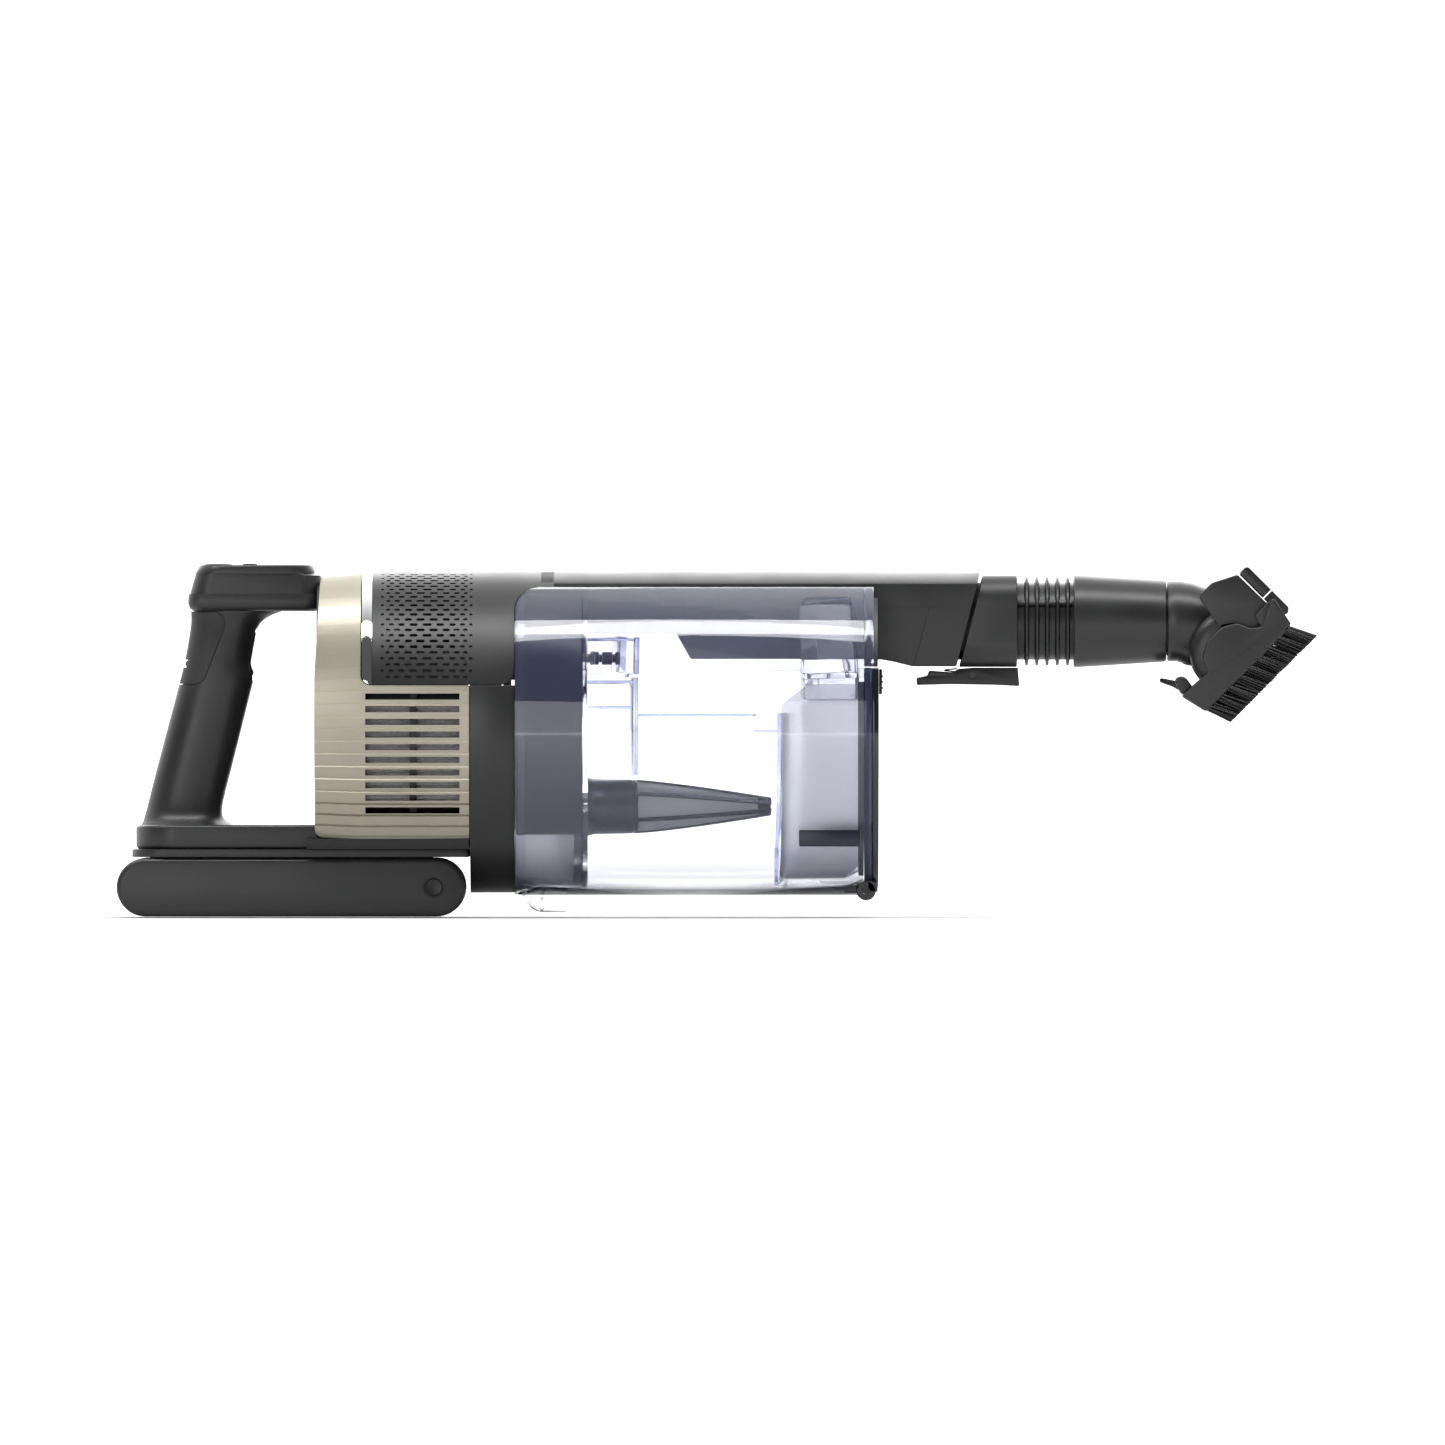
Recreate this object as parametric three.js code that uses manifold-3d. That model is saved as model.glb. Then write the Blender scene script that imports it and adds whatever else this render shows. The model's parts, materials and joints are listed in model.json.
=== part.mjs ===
// A cordless handheld vacuum cleaner with a tilting dusting brush on its nozzle.
// Millimetres. +X runs forward to the nozzle, +Z is up, and Y = 0 is the plane of symmetry.
// The origin is the middle of the flat underside of the battery, which the vacuum rests on.
import * as THREE from "three";
import { mergeVertices } from "three/addons/utils/BufferGeometryUtils.js";
import Module from "manifold-3d";

const wasm = await Module();
wasm.setup();

// ---------- Clearances ----------
const gap = 0.3; // between separate pieces that seat on each other
const turnGap = 0.05; // radial, around a shaft or a pin
const swingGap = 0.4; // beside a piece that swings
const past = 1; // how far a cutter runs past the face that it cuts

// ---------- Battery ----------
const cellDiameter = 18.4;
const cellLength = 65.2;
const cellPitch = 18.8;
const cellCount = 7;
const cellRoom = 0.4;
const batteryWall = 2.4;
const batteryEndRoom = 5.7;
const releaseButtonRadius = 3.6;
const releaseButtonTravel = 1.6;
const releaseButtonDepth = 2.4;
const releaseButtonInset = 13.1; // from the front end of the battery to the button
const railNeckHalf = 18;
const railHeadHalf = 21.5;
const railHeadHeight = 1.8;
const railEndInset = 13.5;

// ---------- Dock and handle ----------
const dockThickness = 3;
const dockRearInset = 7.5; // the battery sticks out behind the dock by this
const barHeight = 9.9;
const barRoofWall = 2.1;
const handleWall = 2.6;
const gripHalf = 16;
const gripRearLean = 0.25; // run for each unit of rise
const gripDepth = 31.5; // front to back, level
const gripRise = 89.6; // from the bar's top to the underside of the control box
const controlBoxHalf = 22;
const controlBoxHeight = 15.3;
const controlBoxLength = 51.5;
const lidHeight = 3.2;
const padThickness = 1.4;
const padHeight = 29.5;
const padWrap = 15.5; // how far forward the pad reaches on the grip's sides
const lightHeight = 2.8;
const lightHalf = 8;
const lightDrop = 21.5; // from the top of the pad to the light's middle
const triggerHalf = 7.5;
const triggerLength = 18.6;
const triggerDepth = 9;
const triggerPinRadius = 1.2;
const triggerRoom = 4.2; // behind the trigger, for its stroke
const powerButtonRadius = 6;
const modeButtonHalf = 7;
const buttonHeight = 3.3;

// ---------- Body ----------
const bodyWidth = 112;
const bodyHeight = 131.6;
const bodyRise = 37.9; // from the top of the handle's bar to the body's axis
const bodyWall = 2.4;
const batteryFrontRoom = 1.7;
const bodyRingLength = 18;
const shroudLength = 63.6;
const shroudSink = 5.4; // how far the shroud's lower edge is below the top of the bar
const trimStart = 19.3; // from the shroud's rear edge to the trim band
const trimWidth = 6.6;
const trimThickness = 1.8;
const saddleRise = 19.5; // from the body's axis to the lower edge of the upper housing
const slotCount = 10;
const slotPitch = 5.17;
const slotHeight = 2.5;
const slotLength = 38.5;
const slotInset = 3.9; // from the front edge of the shroud to the slots
const topSlotRise = 14.6; // from the body's axis to the middle of the top slot
const exhaustFilterThickness = 7.5;
const exhaustFilterRoom = 1.6;
const bulkheadWall = 2.7;
const preFilterThickness = 9.5;
const preFilterRadius = 36;

// ---------- Motor ----------
const motorDrop = 4.4; // from the body's axis down to the motor's
const barrelRadius = 35;
const barrelWall = 2;
const barrelLength = 54;
const motorCanRadius = 25;
const motorCanLength = 28;
const motorCanWall = 1.5;
const shaftRadius = 2.5;
const bearingRadius = 8;
const bearingWidth = 5;
const rotorRadius = 13;
const impellerRadius = 22;
const impellerWidth = 6;
const bladeCount = 7;
const bladeThickness = 1.2;
const fanEyeRadius = 14;
const mountWidth = 8;

// ---------- Nozzle tube ----------
const tubeHalf = 21;
const tubeWall = 2;
const tubeRearDepth = 25.8; // from the body's top to the underside of the rear stretch
const tubeFrontDepth = 36;
const tubeStepStart = 66.7; // from the body's front face to the step in the underside
const tubeStepLength = 5.5;
const chinDepth = 38.8;
const chinLength = 30.5; // from the cup's front to the foot of the slanted joint
const slantRun = 9.8; // how far forward the slanted joint leans over the chin's height
const collarHalf = 19;
const collarDepth = 37.5;
const collarLength = 15.1; // from the top of the slanted joint to the collar's mouth
const collarDrop = 1.5; // from the body's top down to the collar's
const collarCorner = 11;
const jointGap = 0.6;
const leverHalf = 11;
const leverWall = 1.8;
const leverLength = 42;
const leverHeight = 7.6;
const leverPinRadius = 1.3;
const leverPinDrop = 3; // from the lever's top to its pin
const leverPinSetBack = 19.2; // from the lever's front end to its pin
const leverReach = 1; // how far the lever passes the collar's mouth
const leverEarHalf = 4;
const springRadius = 2.6;
const springWire = 0.6;
const springTurns = 3;

// ---------- Dust cup ----------
const cupLength = 142.8;
const cupProud = 1; // how far the cup stands out past the body
const cupWall = 2.2;
const channelClearance = 1; // beside the tube, on each side
const channelDepth = 41.2; // from the body's top to the channel's floor
const channelWall = 2;
const cupCorner = 13;
const cycloneLength = 28;
const cupBulkhead = 2.2;
const coneRadius = 11.2;
const coneWall = 1.6;
const coneDrop = 30.4; // from the body's axis down to the cone's
const coneBaseLength = 22.5;
const coneLength = 51;
const coneTipRadius = 3.4;
const inletLength = 29;
const inletDrop = 9; // from the channel's underside to the duct's lower edge
const inletSideRoom = 22.7; // from the inlet duct's outer face to the body's side, level with the axis
const inletDepth = 29;
const inletWall = 1.6;
const baffleLength = 34;
const baffleInset = 4.2;
const baffleWall = 1.6;
const wiperHeight = 6;
const wiperLength = 26.5;
const wiperDepth = 3;
const wiperDrop = 43.8; // from the body's axis down to the wiper rib
const tabHalf = 9;
const tabLength = 18.8;
const tabThickness = 1.6;
const tabDrop = 6.8; // how far the tab hangs below the cup

// ---------- Cup door ----------
const doorThickness = 5.8;
const doorTopDrop = 39.3; // from the body's top to the door's upper edge
const notchHalf = 15;
const notchDepth = 14;
const latchHalf = 10;
const latchThickness = 2.6;
const latchHeight = 11;
const sealWidth = 2.2;
const sealDepth = 2.6;
const knuckleRadius = 4.1;
const hingePinRadius = 1.5;
const hingeRise = 2; // from the cup's bottom to the hinge pin
const cupKnuckleHalf = 11.6;
const doorKnuckleHalf = 22;

// ---------- Brush tool ----------
const connectorRadius = 15.8;
const connectorWall = 2.4;
const connectorInsertion = 28;
const finCount = 5;
const finPitch = 4.2;
const finWidth = 1.5;
const finRadius = 18.2;
const finStart = 3.2; // from the collar's mouth to the first fin
const sleeveRearRadius = 18.9;
const sleeveFrontRadius = 16.5;
const sleeveLength = 38;
const sleeveOverlap = 10;
const sleeveWall = 2.2;
const spigotLength = 14;
const spigotWall = 2;
const elbowLength = 26; // from the sleeve's front end to the tilt axis
const elbowDrop = 12.4; // from the nozzle's axis down to the tilt axis
const elbowRoundLength = 4.5;
const neckHalf = 13;
const ballRadius = 10.5;
const headHalf = 19.5;
const hubRadius = 17.1;
const headLean = Math.PI / 4; // the mouth's direction below the level
const mouthLength = 40; // along the slanted mouth
const mouthDepth = 9.3;
const headWall = 2.5;
const brushLength = 49;
const brushHalf = 23.2;
const brushDepth = 10.3;
const bristleLength = 12;
const bristleSlant = 5; // how far the tips lean along the mouth
const bristleRing = 6;
const barThickness = 4.6;
const barLength = 25.8;


// ---------- Places that follow from the sizes ----------
const batteryLength = cellCount * cellPitch + 2 * batteryEndRoom;
const batteryHeight = cellDiameter + 2 * (batteryWall + cellRoom);
const batteryHalf = cellLength / 2 + batteryWall + 2.5;
const batteryFront = batteryLength / 2;
const batteryRear = -batteryFront;
const dockBottom = batteryHeight + gap;
const dockTop = dockBottom + dockThickness;
const barBottom = dockTop + gap;
const barTop = barBottom + barHeight;
const bodyAxis = barTop + bodyRise;
const bodyTop = bodyAxis + bodyHeight / 2;
const ringRear = batteryFront + batteryFrontRoom;
const bodyFront = ringRear + bodyRingLength;
const shroudRear = ringRear - shroudLength;
const shroudBottom = barTop - shroudSink;
const saddleBottom = bodyAxis + saddleRise;
const trimRear = shroudRear + trimStart;
const saddleRear = trimRear + trimWidth + gap;
const motorAxis = bodyAxis - motorDrop;
const cupRear = bodyFront + gap;
const cupFront = cupRear + cupLength;
const cupBottom = bodyAxis - bodyHeight / 2 - cupProud;
const channelHalf = tubeHalf + channelClearance;
const inletWidth = bodyWidth / 2 - channelHalf - channelWall - gap - inletSideRoom;
const channelFloor = bodyTop - channelDepth;
const bulkheadRear = cupRear + cycloneLength;
const doorRear = cupFront + gap;
const doorFront = doorRear + doorThickness;
const doorTop = bodyTop - doorTopDrop;
const hingeX = doorRear + 0.7;
const hingeZ = cupBottom + hingeRise;
const collarTop = bodyTop - collarDrop;
const collarBottom = collarTop - collarDepth;
const nozzleAxis = (collarTop + collarBottom) / 2;
const slantFoot = doorFront + 1.4 + chinLength;
const slantHead = slantFoot + slantRun;
const collarFront = slantHead + collarLength;
const leverFront = collarFront + leverReach;
const leverRear = leverFront - leverLength;
const leverTop = collarBottom - gap;
const leverPinX = leverFront - leverPinSetBack;
const leverPinZ = leverTop - leverPinDrop;
const leverEarBottom = leverPinZ - leverPinRadius - 0.8;
const sleeveRear = collarFront + finStart + finCount * finPitch - 1;
const sleeveFront = sleeveRear + sleeveLength;
const tiltX = sleeveFront + elbowLength + jointGap;
const tiltZ = nozzleAxis - elbowDrop;
const controlBoxFront = shroudRear - gap;
const controlBoxRear = controlBoxFront - controlBoxLength;
const controlBoxBottom = barTop + gripRise - 2;
const controlBoxTop = controlBoxBottom + controlBoxHeight;
const barOffset = brushLength / 2 + gap;
const barRear = batteryRear + dockRearInset;
const gripTopRear = barRear + gripRearLean * (controlBoxBottom - barBottom);

const root = new THREE.Group();

// ---------- Materials ----------
const finishes = {
  darkPlastic: { color: 0x2f3032, roughness: 0.42, metalness: 0 },
  blackPlastic: { color: 0x1b1b1d, roughness: 0.5, metalness: 0 },
  champagnePaint: { color: 0xbdb49c, roughness: 0.34, metalness: 0.55 },
  chromeTrim: { color: 0xc9cacd, roughness: 0.08, metalness: 1 },
  clearPlastic: { color: 0xb9bdd8, roughness: 0.05, metalness: 0, transparent: true, opacity: 0.3 },
  smokePlastic: { color: 0xc3c4ce, roughness: 0.3, metalness: 0, transparent: true, opacity: 0.5 },
  duskPlastic: { color: 0x2c2f45, roughness: 0.3, metalness: 0 },
  glossBlack: { color: 0x0b0b0d, roughness: 0.08, metalness: 0 },
  softRubber: { color: 0x28292b, roughness: 0.8, metalness: 0 },
  filterMesh: { color: 0xb5b7bd, roughness: 0.5, metalness: 0.7 },
  filterMedia: { color: 0xd5d3cf, roughness: 0.9, metalness: 0 },
  foam: { color: 0x3c4a6b, roughness: 0.95, metalness: 0 },
  steel: { color: 0x9b9ca0, roughness: 0.3, metalness: 1 },
  cellWrap: { color: 0x2e6b8a, roughness: 0.35, metalness: 0 },
  circuitBoard: { color: 0x1e4a30, roughness: 0.5, metalness: 0 },
  bristle: { color: 0x1a1a1b, roughness: 0.7, metalness: 0 },
};
const materials = Object.fromEntries(
  Object.entries(finishes).map(([name, finish]) => [name, new THREE.MeshStandardMaterial(finish)]),
);

// ---------- Shapes and solids ----------
const curveSegments = 6;
const roundSegments = 28;
const X = new THREE.Vector3(1, 0, 0);
const Y = new THREE.Vector3(0, 1, 0);
const Z = new THREE.Vector3(0, 0, 1);
const drawnFacingX = new THREE.Matrix4().makeBasis(Y, Z, X); // a drawing in Y, Z
const drawnFacingY = new THREE.Matrix4().makeBasis(X, Z, Y.clone().negate()); // a drawing in X, Z
const turnedAboutX = new THREE.Matrix4().makeBasis(Y, X, Z.clone().negate());

function solid(geometry) {
  const bare = geometry.index ? geometry.toNonIndexed() : geometry.clone();
  bare.deleteAttribute("normal");
  bare.deleteAttribute("uv");
  const merged = mergeVertices(bare, 1e-4);
  const index = merged.index.array;
  const triangles = [];
  for (let i = 0; i < index.length; i += 3) {
    const [a, b, c] = index.slice(i, i + 3);
    if (a !== b && b !== c && c !== a) triangles.push([a, b, c]);
  }
  const vertProperties = merged.attributes.position.array;
  const build = (list) =>
    new wasm.Manifold(
      new wasm.Mesh({ numProp: 3, vertProperties, triVerts: new Uint32Array(list.flat()) }),
    );
  const made = build(triangles);
  return made.volume() > 0 ? made : build(triangles.map(([a, b, c]) => [a, c, b]));
}

const join = (first, ...others) => others.reduce((made, other) => made.add(other), first);
const cut = (first, ...others) => others.reduce((made, other) => made.subtract(other), first);
const common = (first, ...others) => others.reduce((made, other) => made.intersect(other), first);

function geometryOf(made) {
  const mesh = made.getMesh();
  const positions = new Float32Array(mesh.numVert * 3);
  for (let i = 0; i < mesh.numVert; i++) {
    positions.set(mesh.vertProperties.subarray(i * mesh.numProp, i * mesh.numProp + 3), i * 3);
  }
  const geometry = new THREE.BufferGeometry();
  geometry.setAttribute("position", new THREE.BufferAttribute(positions, 3));
  geometry.setIndex(new THREE.BufferAttribute(mesh.triVerts, 1));
  geometry.computeVertexNormals();
  return geometry;
}

function addPart(name, made, finish, parent = root) {
  const mesh = new THREE.Mesh(geometryOf(made), materials[finish]);
  mesh.name = name;
  parent.add(mesh);
  return mesh;
}

const polygon = (points) => new THREE.Shape(points.map(([x, y]) => new THREE.Vector2(x, y)));

// A polygon whose corners [x, y, radius] are rounded.
function roundedPolygon(corners) {
  const shape = new THREE.Shape();
  corners.forEach(([x, y, radius = 0], i) => {
    const corner = new THREE.Vector2(x, y);
    const before = new THREE.Vector2(...corners.at(i - 1).slice(0, 2));
    const after = new THREE.Vector2(...corners[(i + 1) % corners.length].slice(0, 2));
    const reach = Math.min(radius, 0.48 * corner.distanceTo(before), 0.48 * corner.distanceTo(after));
    const start = corner.clone().add(before.sub(corner).setLength(reach));
    const end = corner.clone().add(after.sub(corner).setLength(reach));
    if (i === 0) shape.moveTo(start.x, start.y);
    else shape.lineTo(start.x, start.y);
    if (radius > 0) shape.quadraticCurveTo(x, y, end.x, end.y);
  });
  shape.closePath();
  return shape;
}

const roundedRectangle = (x0, y0, x1, y1, radius) =>
  roundedPolygon([[x0, y0, radius], [x1, y0, radius], [x1, y1, radius], [x0, y1, radius]]);

function stadium(halfLength, halfHeight, centreY) {
  const shape = new THREE.Shape();
  const straight = halfLength - halfHeight;
  shape.absarc(straight, centreY, halfHeight, -Math.PI / 2, Math.PI / 2);
  shape.absarc(-straight, centreY, halfHeight, Math.PI / 2, (3 * Math.PI) / 2);
  return shape;
}

// The body's cross-section in Y, Z, made larger or smaller by grow.
function bodyOutline(grow = 0) {
  const shape = new THREE.Shape();
  shape.absellipse(0, bodyAxis, bodyWidth / 2 + grow, bodyHeight / 2 + grow, 0, 2 * Math.PI);
  return shape;
}

function extruded(shape, length, edge, segments) {
  return new THREE.ExtrudeGeometry(shape, {
    depth: length - 2 * edge,
    bevelEnabled: edge > 0,
    bevelThickness: edge,
    bevelSize: edge,
    bevelOffset: -edge,
    bevelSegments: edge > 2 ? 3 : 1,
    curveSegments: segments,
  }).translate(0, 0, edge);
}

function prismX(shape, x0, x1, edge = 0, segments = curveSegments) {
  return solid(extruded(shape, x1 - x0, edge, segments).applyMatrix4(drawnFacingX).translate(x0, 0, 0));
}

function prismY(shape, y0, y1, edge = 0, segments = curveSegments) {
  return solid(extruded(shape, y1 - y0, edge, segments).applyMatrix4(drawnFacingY).translate(0, y1, 0));
}

function prismZ(shape, z0, z1, edge = 0, segments = curveSegments) {
  return solid(extruded(shape, z1 - z0, edge, segments).translate(0, 0, z0));
}

const bodySolid = (x0, x1, grow = 0) => prismX(bodyOutline(grow), x0, x1, 0, 22);
const bodyShell = (x0, x1, wall, grow = 0) =>
  cut(bodySolid(x0, x1, grow), bodySolid(x0 - past, x1 + past, grow - wall));

function box(x0, x1, y0, y1, z0, z1) {
  const geometry = new THREE.BoxGeometry(x1 - x0, y1 - y0, z1 - z0);
  return solid(geometry.translate((x0 + x1) / 2, (y0 + y1) / 2, (z0 + z1) / 2));
}

const boxAcross = (x0, x1, half, z0, z1) => box(x0, x1, -half, half, z0, z1);

// A shape turned about a line along X: the profile is a list of [x, radius].
function turned(profile, z, segments = roundSegments) {
  const points = profile.map(([x, radius]) => new THREE.Vector2(radius, x));
  return solid(new THREE.LatheGeometry(points, segments).applyMatrix4(turnedAboutX).translate(0, 0, z));
}

const rodX = (radius, x0, x1, z, segments) =>
  turned([[x0, 0], [x0, radius], [x1, radius], [x1, 0]], z, segments);
const pipeX = (outer, inner, x0, x1, z, segments) =>
  turned([[x0, inner], [x0, outer], [x1, outer], [x1, inner], [x0, inner]], z, segments);

function rodY(radius, y0, y1, x, z, segments = 16) {
  const geometry = new THREE.CylinderGeometry(radius, radius, y1 - y0, segments);
  return solid(geometry.translate(x, (y0 + y1) / 2, z));
}

function rodZ(radius, z0, z1, x, y, segments = 20) {
  const geometry = new THREE.CylinderGeometry(radius, radius, z1 - z0, segments);
  return solid(geometry.rotateX(Math.PI / 2).translate(x, y, (z0 + z1) / 2));
}

// ---------- Battery ----------
const batteryMiddle = batteryHeight / 2;
const buttonX = batteryFront - releaseButtonInset;
const railFront = batteryFront - railEndInset;

function batteryCase() {
  const outer = prismY(stadium(batteryFront, batteryMiddle, batteryMiddle), -batteryHalf, batteryHalf, 1.2);
  const inside = stadium(batteryFront - batteryWall, batteryMiddle - batteryWall, batteryMiddle);
  const hollow = prismY(inside, batteryWall - batteryHalf, batteryHalf - batteryWall);
  const neck = boxAcross(-railFront, railFront, railNeckHalf, batteryHeight - past, dockTop + gap);
  const head = boxAcross(-railFront, railFront, railHeadHalf, dockTop + gap, dockTop + gap + railHeadHeight);
  const holes = rodY(releaseButtonRadius + gap, -batteryHalf - past, batteryHalf + past, buttonX, batteryMiddle);
  return cut(join(outer, neck, head), hollow, holes);
}

function cellPack() {
  const first = -((cellCount - 1) / 2) * cellPitch;
  const cells = Array.from({ length: cellCount }, (_, i) =>
    rodY(cellDiameter / 2, -cellLength / 2, cellLength / 2, first + i * cellPitch, batteryMiddle, 12),
  );
  const strap = boxAcross(first, -first, 4, batteryMiddle - 3, batteryMiddle + 3);
  return join(strap, ...cells);
}

function releaseButton(side) {
  const outer = side * (batteryHalf + 0.2);
  const inner = side * (batteryHalf + 0.2 - releaseButtonDepth);
  return rodY(releaseButtonRadius, Math.min(outer, inner), Math.max(outer, inner), buttonX, batteryMiddle);
}

const caseBlank = batteryCase();
const belowSplit = boxAcross(batteryRear - past, batteryFront + past, batteryHalf + past, -past, batteryMiddle - gap / 2);
const aboveSplit = boxAcross(
  batteryRear - past, batteryFront + past, batteryHalf + past, batteryMiddle + gap / 2, barTop,
);
addPart("battery_case_lower", common(caseBlank, belowSplit), "darkPlastic");
addPart("battery_case_upper", common(caseBlank, aboveSplit), "darkPlastic");
addPart("cell_pack", cellPack(), "cellWrap");
addPart("battery_button_left", releaseButton(1), "blackPlastic");
addPart("battery_button_right", releaseButton(-1), "blackPlastic");

// ---------- Dock ----------
const railTop = dockTop + gap + railHeadHeight;
const railRoof = railTop + swingGap;

function batteryDock() {
  const plate = prismZ(
    roundedPolygon([[barRear, -batteryHalf, 12], [ringRear - gap, -batteryHalf], [ringRear - gap, batteryHalf],
      [barRear, batteryHalf, 12]]),
    dockBottom, dockTop,
  );
  const slot = boxAcross(barRear - past, railFront + gap, railNeckHalf + gap, dockBottom - past, dockTop + past);
  return cut(plate, slot);
}

addPart("battery_dock", batteryDock(), "darkPlastic");
addPart(
  "dock_contacts",
  boxAcross(railFront + gap, railFront + 8, 12, dockTop + gap, dockTop + gap + railHeadHeight),
  "steel",
);

// ---------- Handle ----------
const gripRearAt = (z) => barRear + gripRearLean * (z - barBottom);
const gripFrontAt = (z) => gripRearAt(z) + gripDepth;
const triggerTop = controlBoxBottom - 8.4;
const triggerBottom = triggerTop - triggerLength;
const triggerPinX = gripFrontAt(triggerTop) - 5;
const triggerPinZ = triggerTop - 2;
const padTop = controlBoxBottom - gap;
const padBottom = padTop - padHeight;
const lightZ = padTop - lightDrop;

// The grip seen from the side: it leans forward, and its front is hollowed for the fingers.
function gripOutline(inset = 0) {
  return roundedPolygon([
    [gripRearAt(barBottom) + inset, barBottom + inset],
    [gripFrontAt(barBottom) - inset, barBottom + inset],
    [gripFrontAt(triggerBottom - 3) - inset, triggerBottom - 3, 4],
    [gripFrontAt(triggerBottom) - 1.6 - inset, triggerBottom + 5, 4],
    [gripFrontAt(triggerTop) - 4 - inset, controlBoxBottom + 4],
    [gripTopRear + 1 + inset, controlBoxBottom + 4],
    [gripTopRear - 1.5 + inset, controlBoxBottom - 12, 8],
  ]);
}

const gripSolid = (inset = 0) => prismY(gripOutline(inset), inset - gripHalf, gripHalf - inset, Math.max(6 - inset, 3));

// The web is the round corner between the grip and the control box.
function handleBlank() {
  const controlBox = prismY(
    roundedPolygon([[controlBoxRear, controlBoxBottom, 3], [controlBoxFront, controlBoxBottom],
      [controlBoxFront, controlBoxTop], [controlBoxRear + 3, controlBoxTop]]),
    -controlBoxHalf, controlBoxHalf, 1.5,
  );
  const webFoot = gripFrontAt(triggerTop) - 4.5;
  const web = new THREE.Shape();
  web.moveTo(webFoot - 8, triggerTop + 1);
  web.lineTo(webFoot, triggerTop + 1);
  web.quadraticCurveTo(webFoot + 1, controlBoxBottom, webFoot + 14, controlBoxBottom + 1);
  web.lineTo(webFoot - 8, controlBoxBottom + 1);
  const bar = prismZ(
    roundedPolygon([[barRear, -batteryHalf, 16], [shroudRear - gap, -batteryHalf], [shroudRear - gap, batteryHalf],
      [barRear, batteryHalf, 16]]),
    barBottom, barTop, 1,
  );
  const cradle = common(
    bodySolid(shroudRear - 2, ringRear - gap),
    boxAcross(shroudRear - 2, ringRear, bodyWidth, barBottom, shroudBottom - gap),
  );
  return join(controlBox, gripSolid(), prismY(web, 1 - gripHalf, gripHalf - 1), bar, cradle);
}

function handleHollow() {
  const boxRoom = boxAcross(
    controlBoxRear + handleWall + 2, controlBoxFront - handleWall, controlBoxHalf - handleWall,
    controlBoxBottom + handleWall, controlBoxTop + past,
  );
  const gripRoom = gripSolid(handleWall);
  const barRoom = boxAcross(
    barRear + handleWall + 3, shroudRear - handleWall, batteryHalf - handleWall - 6,
    barBottom - past, barTop - barRoofWall,
  );
  const railRoom = boxAcross(barRear - past, ringRear + past, railHeadHalf + swingGap, barBottom - past, railRoof);
  return join(boxRoom, gripRoom, barRoom, railRoom);
}

function triggerPocket() {
  const rear = gripFrontAt(triggerBottom) - triggerDepth - triggerRoom;
  const front = gripFrontAt(triggerTop) + past;
  return join(
    boxAcross(rear, front, triggerHalf + swingGap, triggerBottom - 1, triggerTop + 1),
    rodY(triggerPinRadius + turnGap, -triggerHalf - 3.2, triggerHalf + 3.2, triggerPinX, triggerPinZ),
  );
}

const padRegion = (spread) =>
  prismY(
    roundedPolygon([
      [barRear, padBottom - spread], [gripRearAt(padBottom) + padWrap - 2 + spread, padBottom - spread, 4],
      [gripTopRear + padWrap + spread, padTop + spread, 3], [barRear, padTop + spread],
    ]),
    -gripHalf - past, gripHalf + past,
  );
const lightRecess = (spread) =>
  boxAcross(barRear, gripRearAt(lightZ) + 2.4 + spread, lightHalf + spread,
    lightZ - lightHeight / 2 - spread, lightZ + lightHeight / 2 + spread);

const padRecess = cut(padRegion(gap), gripSolid(padThickness + gap));
const handle = cut(handleBlank(), handleHollow(), triggerPocket(), padRecess, lightRecess(gap));
const leftSide = box(-300, 300, gap / 2, 300, -300, 300);
const rightSide = box(-300, 300, -300, -gap / 2, -300, 300);
addPart("handle_left_shell", common(handle, leftSide), "darkPlastic");
addPart("handle_right_shell", common(handle, rightSide), "darkPlastic");
addPart(
  "grip_pad",
  cut(common(gripSolid(), padRegion(0)), gripSolid(padThickness), lightRecess(gap)),
  "softRubber",
);
addPart("status_light", common(gripSolid(), lightRecess(0)), "glossBlack");

function boostTrigger() {
  const front = (z) => gripFrontAt(z) - 1.8;
  const outline = roundedPolygon([
    [front(triggerBottom) - triggerDepth, triggerBottom], [front(triggerBottom) + 0.6, triggerBottom],
    [front(triggerBottom) - 1.8, triggerBottom + 5, 2], [front(triggerTop) - 2.6, triggerTop],
    [front(triggerTop) - triggerDepth, triggerTop],
  ]);
  const bore = rodY(triggerPinRadius + turnGap, -gripHalf, gripHalf, triggerPinX, triggerPinZ);
  return cut(prismY(outline, -triggerHalf, triggerHalf, 1), bore);
}

addPart("boost_trigger", boostTrigger(), "darkPlastic");
addPart("trigger_pin", rodY(triggerPinRadius, -triggerHalf - 3, triggerHalf + 3, triggerPinX, triggerPinZ), "steel");

const leadPath = new THREE.CatmullRomCurve3([
  new THREE.Vector3(gripRearAt(barTop) + 14, 0, barTop - 4),
  new THREE.Vector3(gripRearAt(barTop + 25) + 11, 0, barTop + 25),
  new THREE.Vector3(gripRearAt(triggerBottom) + 9.5, 0, triggerBottom),
  new THREE.Vector3(gripTopRear + 13, 0, controlBoxBottom + 4),
]);
const leadSection = new THREE.Shape();
leadSection.absarc(0, 0, 1.6, 0, 2 * Math.PI);
const leadGeometry = new THREE.ExtrudeGeometry(leadSection, { extrudePath: leadPath, steps: 16, curveSegments: 4 });
addPart("power_lead", solid(leadGeometry), "blackPlastic");

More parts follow.
